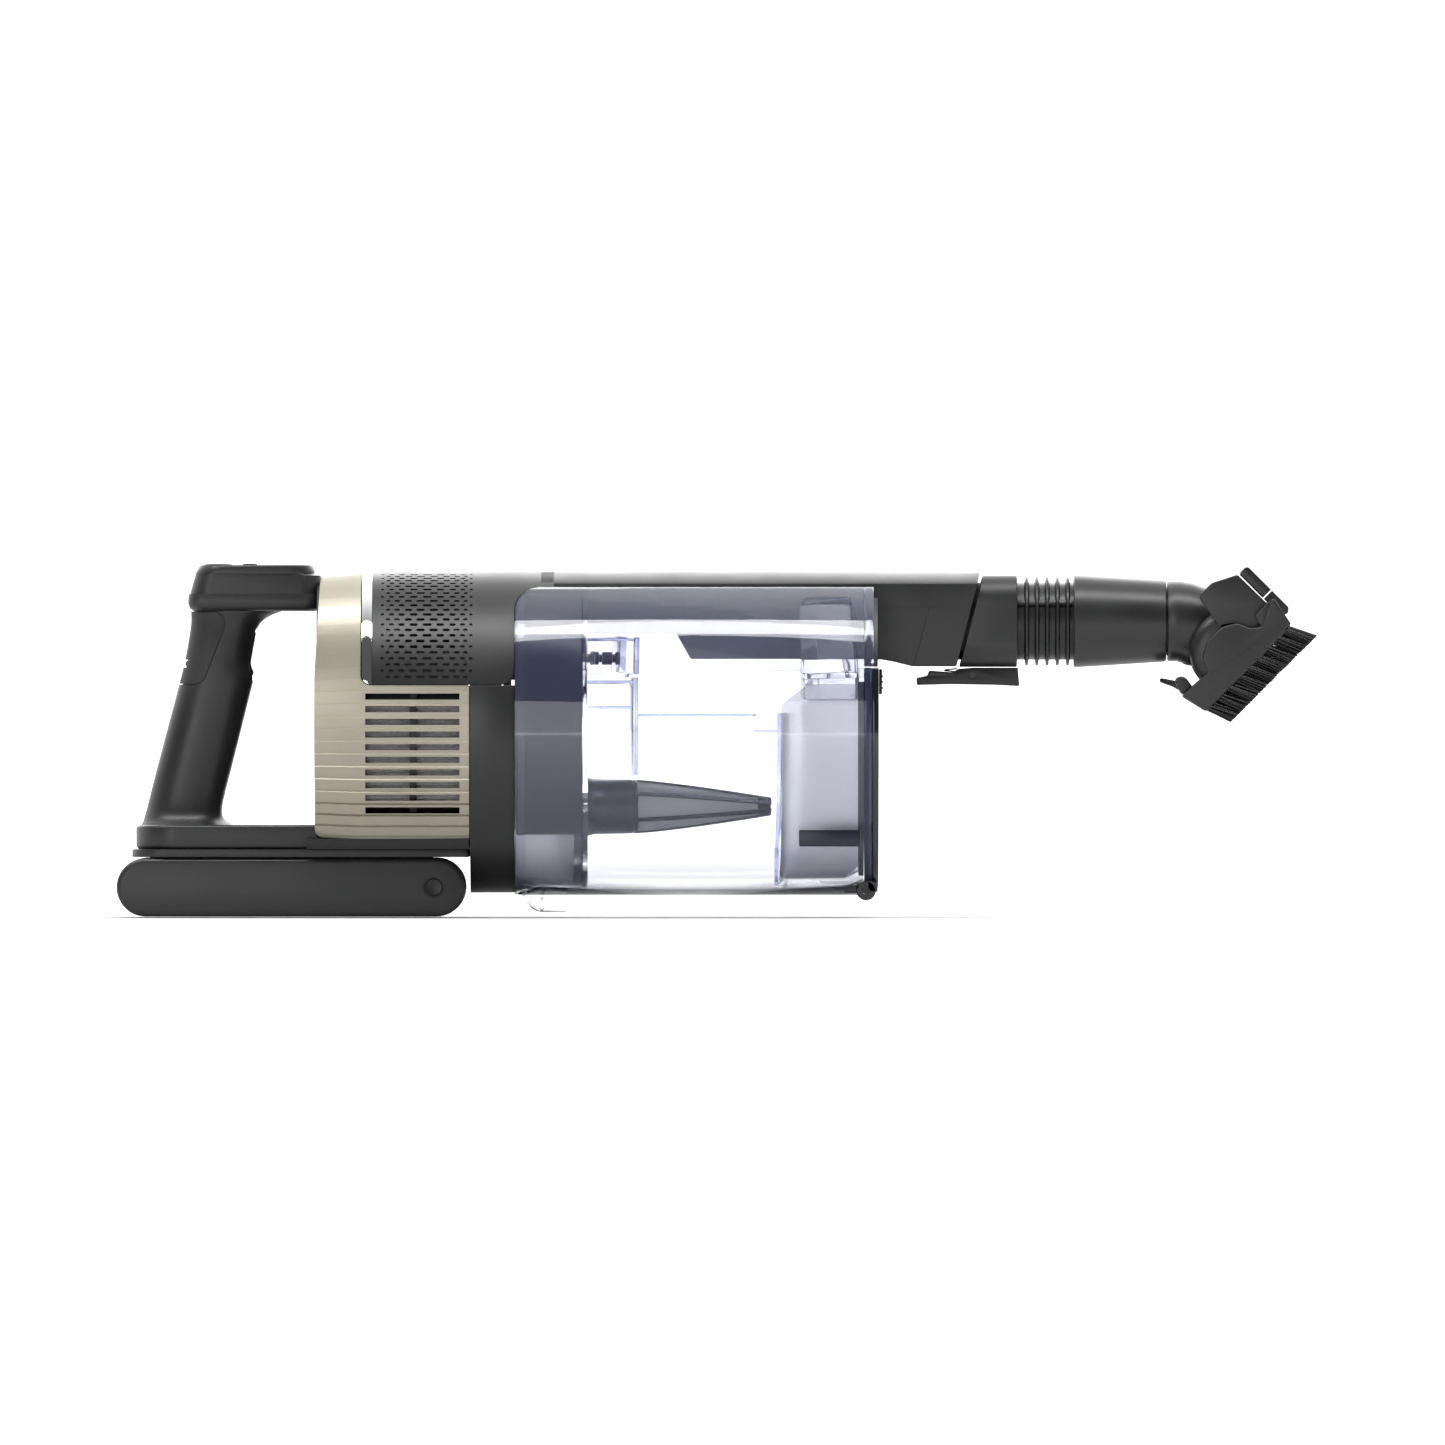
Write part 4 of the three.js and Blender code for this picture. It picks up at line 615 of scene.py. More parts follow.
# The trigger sits in the hollow at the front of the grip
trigger_pocket = block("trigger_pocket", (-26.3, -9), (-8.0, 8.0), (trigger_low.z - 1.37, trigger_high.z + 1.23))
carve(grip, trigger_pocket)
lower_box = loft("lower_box", [
    (box_bottom, box_rear + 2.5, box_front, 18.5), (box_bottom + 1.0, box_rear + 0.8, box_front + 2.4, 20.4),
    (box_bottom + 3.0, box_rear + 0.1, box_front + 2.4, 21.4),
    (box_bottom + 5.2, box_rear + 0.2, box_front + 2.4, 21.4),
    (box_bottom + 6.9, box_rear + 0.5, box_front + 2.4, 20.9)], 0.14, 6)
upper_box = loft("upper_box", [
    (box_bottom + 6.8, box_rear + 0.8, box_front + 2.6, 20.5),
    (box_top - 0.8, box_rear + 3.0, box_front + 2.6, 20.3), (box_top, box_rear + 3.1, box_front - 0.2, 20.2)], 0.2, 8)
carve(grip, lower_box, "UNION")
carve(grip, upper_box, "UNION")
carve(grip, block("key_room", (-37.4, -12.8), (-8.3, 8.3), (box_top - 1.6, box_top + 3)))
trigger = slab("boost_trigger_lever", rounded([
    (-21.9, 98.2, 0), (-15.0, 98.2, 1.6), (-17.0, 103.4, 6), (-14.6, 116.9, 0), (-21.5, 116.9, 0)], 8),
    "XZ", -7.5, 7.5, 1.2, 3)
carve(bar, grip, "UNION")
centre_seam = block("centre_seam", (-70, -30), (-0.12, 0.12), (bar_top + 2, 94))
carve(bar, centre_seam)
is_for(bar, "housing", dark_plastic, ("handle_left_shell", "handle_right_shell", "trigger_pin"), 40)
is_for(pad, "housing", soft_rubber, ("grip_pad",), 40)
is_for(light, "housing", gloss_black, ("status_light",))
is_for(trigger, "boost_trigger", dark_plastic, ("boost_trigger",))

lid = loft("panel_lid", [
    (box_top + 0.03, lid_low.x - 0.1, box_front - 0.1, 20.6), (lid_low.z + 0.5, lid_low.x + 0.1, box_front, 20.7),
    (lid_high.z - 0.5, lid_low.x + 1.4, box_front - 0.7, 20.2), (lid_high.z, lid_low.x + 1.9, box_front - 1.2, 19.7)],
    0.24, 8)
lens_low, lens_high = span("display_lens")
power_low, power_high = span("power_button")
mode_low, mode_high = span("mode_button")
power_x = (power_low.x + power_high.x) / 2
carve(lid, slab("lens_seat", plate(lens_low.x - 0.3, lens_high.x + 0.3, -15.2, 15.2, 2),
                "XY", lid_high.z - 1.2, lid_high.z + 2))
carve(lid, drill("power_seat", lid_low.z - 2, lid_high.z + 2, 6.35, (power_x, 0, 0), "Z", 48))
carve(lid, slab("mode_seat", plate(mode_low.x - 0.3, mode_high.x + 0.3, -7.3, 7.3, 2.9),
                "XY", lid_low.z - 2, lid_high.z + 2))
is_for(lid, "housing", dark_plastic, ("control_lid",))
lens = slab("display_window", plate(lens_low.x, lens_high.x, -15, 15, 1.8), "XY",
            lid_high.z - 1.1, lid_high.z - 0.1, 0.2)
is_for(lens, "housing", gloss_black, ("display_lens",))
power = spun("power_key", [(power_low.z, 0), (power_low.z, 6), (power_high.z - 0.5, 6), (power_high.z - 0.1, 5.5),
                           (power_high.z - 0.3, 4.2), (power_high.z - 0.6, 0)], (power_x, 0, 0), "Z", 48)
is_for(power, "power_button", black_plastic, ("power_button",))
mode = slab("mode_key", plate(mode_low.x, mode_high.x, -7, 7, 2.6), "XY", mode_low.z, mode_high.z, 0.4)
is_for(mode, "mode_button", black_plastic, ("mode_button",))

# ---------------------------------------------------------------- exhaust shroud

SLOT_TOP = BODY_AXIS + 14.6
SLOT_PITCH = 5.17
RIB_STEP = 0.7
TAPER_FROM = shroud_low.x + 16.8


def rib_heights():
    """Angles, from the bottom of one side to the top, where one rib ends and the next begins."""
    marks = []
    z = SLOT_TOP + SLOT_PITCH / 2
    while z > BODY_AXIS - 34:
        marks.append(math.asin((z - BODY_AXIS) / BODY_RISE))
        z -= SLOT_PITCH
    lowest, highest = marks[-1], marks[0]

    def step_from(angle):
        return SLOT_PITCH / math.hypot(BODY_HALF * math.sin(angle), BODY_RISE * math.cos(angle))

    below, above = [], []
    angle = lowest
    while angle > -math.pi / 2 + 0.06:
        angle -= step_from(angle)
        below.append(max(angle, -math.pi / 2))
    angle = highest
    while angle < math.pi / 2 - 0.06:
        angle += step_from(angle)
        above.append(min(angle, math.pi / 2))
    return sorted(marks + below + above)


def ribbed_curve():
    """The shroud's outline: each rib leans out from its lower edge to its upper edge, then steps back."""
    marks = rib_heights()
    side = []
    for low, high in zip(marks, marks[1:]):
        step = (high - low) * 0.09
        for share in (0.0, 0.34, 0.67, 1.0):
            angle = low + (high - low - step) * share
            grow = -RIB_STEP * (1 - share)
            side.append((angle, grow))
    place = [((BODY_HALF + g) * math.cos(t), BODY_AXIS + (BODY_RISE + g) * math.sin(t)) for t, g in side]
    return place + [(-y, z) for y, z in reversed(place)]


shroud = ring_between("ribbed_shroud", ribbed_curve(), body_curve(-3.0), "YZ", shroud_low.x, shroud_high.x)
pick(shroud)
bpy.ops.object.mode_set(mode="EDIT")
bpy.ops.mesh.select_all(action="SELECT")
bpy.ops.mesh.bisect(plane_co=(TAPER_FROM * MM, 0, 0), plane_no=(1, 0, 0))
bpy.ops.mesh.select_all(action="DESELECT")
bpy.ops.object.mode_set(mode="OBJECT")
for vertex in shroud.data.vertices:
    vertex.select = vertex.co.x < (shroud_low.x + 1) * MM
bpy.ops.object.mode_set(mode="EDIT")
bpy.ops.transform.resize(value=(1, 0.975, 0.98), center_override=Vector((shroud_low.x, 0, BODY_AXIS)) * MM)
bpy.ops.object.mode_set(mode="OBJECT")
carve(shroud, slab("trim_opening", rounded([(trim_low.x - 0.4, trim_low.z - 0.3, 4.2), (90, trim_low.z - 0.3, 0),
                                            (90, ABOVE, 0), (trim_low.x - 0.4, ABOVE, 0)], 8), "XZ", *ACROSS))
shroud_side = rounded([
    (shroud_low.x + 0.2, shroud_low.z + 0.4, 3.6), (shroud_low.x + 14, shroud_low.z - 0.4, 12),
    (shroud_high.x + 2, shroud_low.z, 0),
    (shroud_high.x + 2, 150, 0), (shroud_low.x + 2.9, 150, 0), (shroud_low.x + 2.2, BODY_TOP - 3, 30),
    (shroud_low.x - 0.1, BODY_AXIS + 20, 60)], 8)
carve(shroud, slab("shroud_side", shroud_side, "XZ", *ACROSS), "INTERSECT")
slot_front = shroud_high.x - 3.9
slots = [block("slot", (slot_front - 38.5, slot_front), ACROSS,
               (SLOT_TOP - SLOT_PITCH * i - 1.25, SLOT_TOP - SLOT_PITCH * i + 1.25)) for i in range(10)]
carve(shroud, together("slots", slots))
is_for(shroud, "housing", champagne, ("exhaust_shroud",), 20)

# The cover across the shroud's rear, with a shallow dish and a rim
cover_low, cover_high = span("rear_cover")
rear = body_plug("rear_dish", cover_low.x, cover_high.x, -2.5)
dish = body_plug("dish", cover_low.x - 3, cover_low.x + 0.8, -9)
carve(rear, dish)
carve(rear, block("cover_foot", (0, 30), ACROSS, (0, shroud_low.z + 0.3)))
round_edges(rear, 0.5, 2)
is_for(rear, "housing", dark_plastic, ("rear_cover",))

# Pleated filter behind the slots, with the dark post that crosses them
media_low, media_high = span("exhaust_filter")


def pleats():
    points = []
    count = 260  # folds in and out, all round
    for i in range(count):
        angle = 2 * math.pi * i / count
        grow = -4.6 if i % 2 else -7.0
        points.append(((BODY_HALF + grow) * math.cos(angle), BODY_AXIS + (BODY_RISE + grow) * math.sin(angle)))
    return points


media = tube_wall("pleated_filter", pleats(), "YZ", media_low.x, media_high.x, 0.9)
# The filter stops short of the first and last slots, which show the black tube behind it instead.
carve(media, block("media_limit", (0, 90), ACROSS, (SLOT_TOP - SLOT_PITCH * 8.5, SLOT_TOP - SLOT_PITCH * 0.5)),
      "INTERSECT")
is_for(media, "housing", filter_media, ("exhaust_filter",), 10)
post = tube_wall("filter_post", body_curve(-2.6), "YZ", slot_front - 20.4, slot_front - 17.5, 1.4)
carve(post, block("post_foot", (0, 90), ACROSS, (0, shroud_low.z + 2)))
carve(post, block("post_head", (0, 90), ACROSS, (trim_low.z + 4, ABOVE)))
is_for(post, "housing", black_plastic)
# A black tube behind the filter: the first and last slots, which the filter leaves open, show it as dark.
slot_backing = tube_wall("slot_backing_tube", body_curve(-8.4), "YZ", shroud_low.x + 8, shroud_high.x - 1, 1.2)
carve(slot_backing, block("liner_foot", (0, 90), ACROSS, (0, shroud_low.z + 3)))
is_for(slot_backing, "housing", black_plastic)

# ---------------------------------------------------------------- trim band

SADDLE_REAR = saddle_low.x - 2.5
band = tube_wall("chrome_band", body_curve(-0.15), "YZ", trim_low.x + 0.1, SADDLE_REAR - 0.2, 1.4)
band_limit = rounded([(trim_low.x + 0.1, trim_low.z + 0.1, 3.8), (trim_high.x + 3, trim_low.z + 0.1, 0),
                      (trim_high.x + 3, ABOVE, 0), (trim_low.x + 0.1, ABOVE, 0)], 8)
carve(band, slab("band_limit", band_limit, "XZ", *ACROSS), "INTERSECT")
round_edges(band, 0.35, 2, 40)
is_for(band, "housing", chrome, ("trim_band",))

# ---------------------------------------------------------------- motor housing

skin = tube_wall("motor_skin", body_curve(), "YZ", motor_high.x - 18, motor_high.x + 0.2, 2.4)
carve(skin, slab("skin_limit", rounded([(60, trim_low.z - 0.3, 0), (motor_high.x - 0.1, trim_low.z - 0.3, 0),
                                        (120, trim_low.z - 0.3, 0), (120, ABOVE, 0), (60, ABOVE, 0)]), "XZ", *ACROSS))
bulkhead = body_plug("bulkhead", motor_high.x - 4.2, motor_high.x - 1.5, -1.2)
carve(bulkhead, drill("bulkhead_hole", 60, 120, 34, (0, 0, BODY_AXIS - 4.4)))
fan_plate = body_plug("fan_plate", motor_high.x - 18, motor_high.x - 15.3, -1.2)
carve(skin, bulkhead, "UNION")
carve(skin, fan_plate, "UNION")
round_edges(skin, 0.3, 2, 50)
is_for(skin, "housing", dark_plastic, ("motor_housing",))

# ---------------------------------------------------------------- upper housing and nozzle tube

SADDLE_BOTTOM = saddle_low.z
CUP_REAR = motor_high.x + 0.3
CUP_CORNER = 10.0
CUP_TOP = BODY_TOP - 6.4
TUBE_HALF = 21.0

# The saddle's front edge follows the cup's rounded upper rear corner.
saddle_edge = ([(SADDLE_REAR, SADDLE_BOTTOM), (CUP_REAR - 7, SADDLE_BOTTOM)]
               + arc(CUP_REAR - 0.3 - 5.6, SADDLE_BOTTOM + 5.6, 5.6, -90, 0, 8)
               + [(CUP_REAR - 0.3, CUP_TOP - CUP_CORNER)]
               + arc(CUP_REAR - 0.3 + CUP_CORNER, CUP_TOP - CUP_CORNER, CUP_CORNER, 180, 90, 10)
               + [(CUP_REAR + 16, CUP_TOP), (CUP_REAR + 16, ABOVE), (SADDLE_REAR, ABOVE)])
saddle = tube_wall("upper_shell", body_curve(0, steps=240), "YZ", SADDLE_REAR - 2, CUP_REAR + 16.1, 2.4)
carve(saddle, slab("saddle_limit", saddle_edge, "XZ", *ACROSS), "INTERSECT")


def pill(name, x, z, length, height, depth, y_side, reach=6.0):
    """A short slot across the saddle's wall, standing square to it."""
    half = height / 2
    flat = max(length / 2 - half, 0.02)
    outline = arc(flat, 0, half, -90, 90, 4) + arc(-flat, 0, half, 90, 270, 4)
    cutter = slab(name, outline, "XZ", -depth, reach)
    angle = math.asin(max(-1, min(1, (z - BODY_AXIS) / BODY_RISE)))
    normal = Vector((0, math.cos(angle) / BODY_HALF, math.sin(angle) / BODY_RISE)).normalized()
    lift = math.atan2(normal.z, normal.y)
    turn = Matrix.Rotation(lift, 4, "X")
    if y_side < 0:
        turn = Matrix.Rotation(math.pi, 4, "Z") @ turn
    spot = Vector((x, y_side * BODY_HALF * math.cos(angle), z)) * MM
    return place_in_mesh(cutter, Matrix.Translation(spot) @ turn)


ROW_WIDE = [0.0, 3.7, 7.8, 12.8, 18.3, 23.7, 28.7, 32.8, 36.2]
ROW_NARROW = [2.3, 6.0, 10.6, 15.6, 21.0, 26.1, 30.4, 34.0]
ROW_COUNT = 24
PATTERN_MID = 18.1
holes = []
angle = math.asin((SADDLE_BOTTOM + 3.1 - BODY_AXIS) / BODY_RISE)
for row in range(ROW_COUNT):
    columns = ROW_WIDE if row % 2 else ROW_NARROW
    for offset in columns:
        share = 1 - abs(offset - PATTERN_MID) / PATTERN_MID
        length = 1.4 + 2.4 * max(share, 0) ** 0.8
        through = 5 <= row <= 13 and share > 0.4
        z = BODY_AXIS + BODY_RISE * math.sin(angle)
        for side in (-1, 1):
            holes.append(pill("pill", saddle_low.x + 1.6 + offset, z, length, 1.3, 3.4 if through else 0.7, side))
    angle += 2.7 / math.hypot(BODY_HALF * math.sin(angle), BODY_RISE * math.cos(angle))
    if angle > math.pi / 2 - 0.05:
        break
carve(saddle, together("perforations", holes))

tube_side = [
    (CUP_REAR + 10, BODY_TOP + 3), (CUP_REAR + 10, CUP_TOP - 4), (CUP_REAR - 1.5, CUP_TOP - 12),
    (CUP_REAR - 1.5, BODY_TOP - 25.8), (CUP_REAR + 66.4, BODY_TOP - 25.8), (CUP_REAR + 71.9, BODY_TOP - 36),
    (door_high.x + 1.4, BODY_TOP - 36), (door_high.x + 6, BODY_TOP - 36.8), (door_high.x + 14, BODY_TOP - 38.8),
    (door_high.x + 31.9, BODY_TOP - 38.8), (door_high.x + 42.5, BODY_TOP + 3)]
tube = slab("nozzle_tube", tube_side, "XZ", -TUBE_HALF, TUBE_HALF)
carve(tube, body_plug("tube_limit", CUP_REAR - 5, collar_low.x + 20, 0, 240), "INTERSECT")
round_edges(tube, 0.7, 3, 40)
for side in (-1, 1):
    y = (side * TUBE_HALF - 0.35, side * TUBE_HALF + 0.35)
    carve(tube, block("line", (door_high.x + 0.5, door_high.x + 36), y, (126.65, 126.95)))
    carve(tube, slab("slant_line", [(261.2, 126.8), (261.55, 126.8), (254.6, 102.0), (254.25, 102.0)], "XZ", *y))
root = slab("tube_root", [(CUP_REAR - 1.5, BODY_TOP - 24), (CUP_REAR + 14, BODY_TOP - 24), (CUP_REAR + 14, ABOVE),
                          (CUP_REAR - 1.5, ABOVE)], "XZ", -TUBE_HALF + 0.3, TUBE_HALF - 0.3)
carve(root, body_plug("root_limit", CUP_REAR - 5, CUP_REAR + 20, -0.35), "INTERSECT")
is_for(root, "housing", dark_plastic)
is_for(saddle, "housing", dark_plastic, ("upper_housing",))
is_for(tube, "housing", dark_plastic)
backing = tube_wall("perforation_backing", body_curve(-5.5), "YZ", saddle_low.x + 1, motor_high.x + 0.2, 1.2)
carve(backing, block("backing_limit", (0, 120), ACROSS, (SADDLE_BOTTOM + 2, ABOVE)), "INTERSECT")
is_for(backing, "housing", black_plastic)

# ---------------------------------------------------------------- nozzle collar and lever

collar = slab("collar", plate(-19, 19, 102.2, collar_high.z, 11, 12), "YZ", collar_low.x - 2, collar_high.x)
slant = [(collar_low.x - 12, 90), (door_high.x + 30.0, 90), (door_high.x + 43.4, 142.5), (collar_low.x - 12, 142.5)]
carve(collar, slab("slant", slant, "XZ", -30, 30))
round_edges(collar, 0.6, 3, 40)
carve(collar, drill("collar_bore", 240, 320, 16.2, (0, 0, NOZZLE_AXIS), steps=72))
for side in (-1, 1):
    carve(collar, block("side_line", (280.8, 300), (side * 19 - 0.3, side * 19 + 0.3), (134.4, 134.65)))
is_for(collar, "housing", dark_plastic, ("nozzle_collar",))

lever_outline = rounded([
    (lever_low.x, 94.7, 0.6), (lever_low.x + 3, 94.8, 0), (lever_low.x + 14, 95.1, 4), (lever_high.x - 10, 94.8, 4),
    (lever_high.x, lever_low.z, 0.6), (lever_high.x - 0.7, lever_high.z, 0.3), (lever_low.x + 23, lever_high.z, 0),
    (lever_low.x + 17, lever_high.z - 0.5, 2), (lever_low.x + 14.5, lever_high.z - 1.9, 1.5),
    (lever_low.x + 5.0, lever_high.z - 1.2, 0.8),
    (lever_low.x + 4.2, lever_high.z - 3.3, 0.8), (lever_low.x - 0.2, lever_high.z - 4.2, 0.6)], 5)
lever = slab("quick_release_lever", lever_outline, "XZ", -11, 11, 0.5, 2)
lever_x, lever_z = (lever_pin_low.x + lever_pin_high.x) / 2, (lever_pin_low.z + lever_pin_high.z) / 2
for side in (-1, 1):
    carve(lever, drill("pin_hole", side * 12, side * 10.4, 1.75, (lever_x, 0, lever_z), "Y", 28))
carve(lever, block("lever_trough", (lever_low.x + 9, lever_high.x - 3), (-9.2, 9.2), (95.9, 104)))
is_for(lever, "release_lever", black_plastic, ("release_lever",))

# ---------------------------------------------------------------- dust cup

CHANNEL_HALF = 22.0
CHANNEL_FLOOR = BODY_TOP - 41.2
CUP_FRONT = HINGE_X - 1.0


def cup_section(grow=0.0):
    """The cup's outline in Y, Z: the oval with the tube's channel let into its top."""
    a, b = BODY_HALF + 1 + grow, BODY_RISE + 1 + grow
    edge = CHANNEL_HALF - grow
    start = math.degrees(math.asin(math.sqrt(1 - (edge / a) ** 2)))
    oval = arc(0, BODY_AXIS, a, start, -180 - start, 150, b)
    corner = [(-edge, CHANNEL_FLOOR + grow), (edge, CHANNEL_FLOOR + grow)]
    return oval + corner


shell = ring_between("clear_cup", cup_section(), cup_section(-2.2), "YZ", CUP_REAR, CUP_FRONT)
corner_cut = ([(CUP_REAR - 3, ABOVE), (CUP_REAR - 3, CUP_TOP - CUP_CORNER)]
              + arc(CUP_REAR + CUP_CORNER, CUP_TOP - CUP_CORNER, CUP_CORNER, 180, 90, 12)
              + [(CUP_FRONT + 20, CUP_TOP), (CUP_FRONT + 20, ABOVE)])
carve(shell, slab("corner_cut", corner_cut, "XZ", *ACROSS))
carve(shell, block("inlet_port", (duct_low.x + 3, duct_high.x - 4), (-14, 14), (CHANNEL_FLOOR - 6, CHANNEL_FLOOR + 4)))
round_edges(shell, 0.45, 3, 40)
is_for(shell, "dust_cup", clear_plastic, ("dust_cup_shell", "cup_channel"))

rim = ring_between("cup_rear_rim", cup_section(-2.6), cup_section(-4.0), "YZ", CUP_REAR + 1.6, CUP_REAR + 4.2)
carve(rim, slab("rim_cut", corner_cut, "XZ", *ACROSS))
is_for(rim, "dust_cup", clear_plastic)
extension = ring_between("cup_front_rim", cup_section(), cup_section(-2.2), "YZ", CUP_FRONT + 0.1, door_high.x - 2.0)
carve(extension, block("extension_limit", (200, 260), ACROSS, (door_high.z + 0.4, CUP_TOP)), "INTERSECT")
round_edges(extension, 0.4, 2, 40)
is_for(extension, "dust_cup", clear_plastic)

SUMP_TOP = cone_z - 10.4
cyclone = slab("cyclone_box", cup_section(-3.4), "YZ", cyclone_low.x, cyclone_high.x)
carve(cyclone, slab("cyclone_hollow", cup_section(-6.0), "YZ", cyclone_low.x - 3, cyclone_high.x - 3))
inner_corner = [(x, z) if z == ABOVE else (x - 0.6, z - 2.6) for x, z in corner_cut]
carve(cyclone, slab("cyclone_corner", inner_corner, "XZ", *ACROSS))
carve(cyclone, drill("cone_hole", 80, 140, 11.6, (0, 0, cone_z), steps=48))
sump = copy_of(cyclone, "cyclone_sump")
below = (80, 140), ACROSS, (0, SUMP_TOP)
carve(cyclone, block("below_sump", *below))
carve(sump, block("sump_limit", *below), "INTERSECT")
round_edges(cyclone, 0.5, 2, 40)
is_for(cyclone, "dust_cup", dusk_plastic, ("cyclone_housing",))
is_for(sump, "dust_cup", smoke_plastic)

flange_x = cyclone_high.x + 0.3
flange = slab("cup_flange", cup_section(-2.5), "YZ", flange_x, flange_x + 2.0)
carve(flange, drill("flange_hole", 80, 140, 11.6, (0, 0, cone_z), steps=48))
carve(flange, block("flange_top", (80, 140), ACROSS, (CUP_TOP - 2, ABOVE)))
round_edges(flange, 0.3, 2, 40)
is_for(flange, "dust_cup", clear_plastic, ("cup_bulkhead",))

wall_x = cone_base_high.x - 1.1
inner_walls = [
    block("cross_wall", (wall_x, wall_x + 2), (-32, 32), (cone_z + 12.9, CHANNEL_FLOOR - 2.4), 0.25),
    block("cross_shelf", (flange_x + 2.4, wall_x - 0.3), (-30, 30), (85.0, 86.2), 0.25),
    block("cross_step", (wall_x + 2.3, wall_x + 47), (-26, 26), (81.8, 83.0), 0.25),
    block("low_step", (wall_x + 47.3, baffle_low.x - 3), (-26, 26), (75.2, 76.4), 0.25),
    block("baffle_wall", (baffle_low.x - 2.6, baffle_low.x - 1.0), (-38, 38), (14, 83.3), 0.25)]
for side in (-1, 1):
    low, high = sorted((side * 25, side * 40))
    inner_walls += [
        block("side_post", (wall_x, wall_x + 2), (low, high), (CHANNEL_FLOOR - 1, 114), 0.25),
        block("side_shelf", (flange_x + 2.4, wall_x - 0.3), (low, high), (112.3, 113.4), 0.25),
        block("side_floor", (flange_x + 2.4, wall_x - 0.3), (low, high), (95.3, 96.4), 0.25)]
inner = together("cup_inner_walls", inner_walls)
is_for(inner, "dust_cup", rib_plastic)

SPRING = [(125.5, 0), (125.5, 2.4), (126.8, 2.7), (127.3, 1.6), (128.2, 1.6), (128.4, 2.6), (132.2, 2.6), (132.4, 1.7),
          (133.4, 1.7), (133.8, 2.7), (135.4, 2.5), (135.4, 0)]
springs = [spun("flap_spring", SPRING, (0, side * 33, 105.4), "X", 24) for side in (-1, 1)]
is_for(together("flap_springs", springs), "dust_cup", dusk_plastic)

tab_outline = ([(cup_tab_low.x - 2.6, cup_tab_high.z + 1.2), (cup_tab_low.x + 0.6, cup_tab_high.z - 2.4)]
               + arc(cup_tab_low.x + 9, cup_tab_low.z + 6.6, 6.6, 205, 270, 6)
               + [(cup_tab_high.x, cup_tab_low.z), (cup_tab_high.x, cup_tab_low.z + 1.4)]
               + arc(cup_tab_low.x + 9, cup_tab_low.z + 6.6, 5.2, 270, 215, 6)
               + [(cup_tab_low.x + 2.8, cup_tab_high.z)])
tab = slab("cup_tab", tab_outline, "XZ", -9, 9, 0.35)
web = block("tab_web", (cup_tab_low.x + 8.2, cup_tab_low.x + 9.6), (-7, 7),
            (cup_tab_low.z + 0.6, cup_tab_high.z - 0.3), 0.2)
is_for(together("cup_tab", [tab, web]), "cup_release_tab", clear_plastic, ("cup_release_tab",))

# ---------------------------------------------------------------- filter cone

base = spun("cone_sleeve", [
    (cone_base_low.x, 9.6), (cone_base_low.x, 11.2), (flange_x + 2.1, 11.2), (flange_x + 2.3, 15.2),
    (flange_x + 3.0, 15.4), (flange_x + 3.8, 13.6), (flange_x + 5.4, 12.2), (flange_x + 8, 11.4),
    (cone_base_high.x - 0.6, 11.1), (cone_base_high.x, 10.8), (cone_base_high.x, 9.6), (cone_base_low.x, 9.6)],
    (0, 0, cone_z), "X", 64)
is_for(base, "dust_cup", dusk_plastic, ("cone_base",))


def cone_radius(share):
    return 3.2 + 7.4 * (1 - share ** 1.25)


cone_length = cone_high.x - cone_low.x
screen = spun("cone_screen", [(cone_low.x + cone_length * 0.97 * i / 12, cone_radius(i / 12) - 0.35) for i in range(13)]
              + [(cone_high.x - 1.2, 0)], (0, 0, cone_z), "X", 72)
finish_with(screen, "SOLIDIFY", thickness=0.4 * MM, offset=-1)
is_for(screen, "dust_cup", screen_mesh, ("filter_cone",), 60)
outer_edge = [(cone_low.x + cone_length * i / 12, cone_radius(i / 12) + 0.5) for i in range(13)]
inner_edge = [(x, r - 1.4) for x, r in outer_edge]
frame_ribs = []
for k in range(6):
    rib = slab("cone_rib", [(x, r) for x, r in outer_edge] + [(x, r) for x, r in reversed(inner_edge)],
               "XZ", -0.75, 0.75)
    frame_ribs.append(place_in_mesh(rib, about_line(cone_z, 60 * k)))
tip = spun("cone_tip", [(cone_high.x - 4.8, 0), (cone_high.x - 4.8, cone_radius(0.9) + 0.6), (cone_high.x - 1.6, 3.4),
                        (cone_high.x - 0.3, 2.3), (cone_high.x, 0)], (0, 0, cone_z), "X", 32)
ring = spun("cone_ring", [(cone_low.x - 0.1, 9.6), (cone_low.x - 0.1, 11.2), (cone_low.x + 1.2, 11.1),
                          (cone_low.x + 1.2, 9.6), (cone_low.x - 0.1, 9.6)], (0, 0, cone_z), "X", 64)
is_for(together("cone_frame", frame_ribs + [tip, ring]), "dust_cup", dusk_plastic)

# ---------------------------------------------------------------- inlet duct, baffle

duct_outer = rounded([(duct_low.x + 1.5, duct_low.z, 1.5), (duct_high.x + 4, duct_low.z, 1.5),
                      (duct_high.x + 4, duct_high.z + 3, 1.5), (duct_low.x + 5.5, duct_high.z + 3, 1.5),
                      (duct_low.x + 1.5, duct_high.z - 1, 1.5)])
ducts = []
for side in (-1, 1):
    y = sorted((side * 25.0, side * 33.4))
    duct = slab("inlet_box", duct_outer, "XZ", y[0], y[1], 0.6)
    window = block("inlet_window", (duct_low.x + 8, duct_high.x + 2.4), sorted((side * 32.0, side * 36)),
                   (duct_high.z - 12, duct_high.z + 0.5))
    carve(duct, window)
    room = slab("inlet_room", [(duct_low.x + 3, duct_low.z - 2), (duct_high.x + 2.6, duct_low.z - 2),
                               (duct_high.x + 2.6, duct_high.z + 1.6), (duct_low.x + 6, duct_high.z + 1.6),
                               (duct_low.x + 3, duct_high.z - 2)], "XZ", *sorted((side * 24.0, side * 30.8)))
    carve(duct, room)
    ducts.append(duct)
is_for(together("inlet_boxes", ducts), "dust_cup", clear_plastic, ("inlet_duct",))

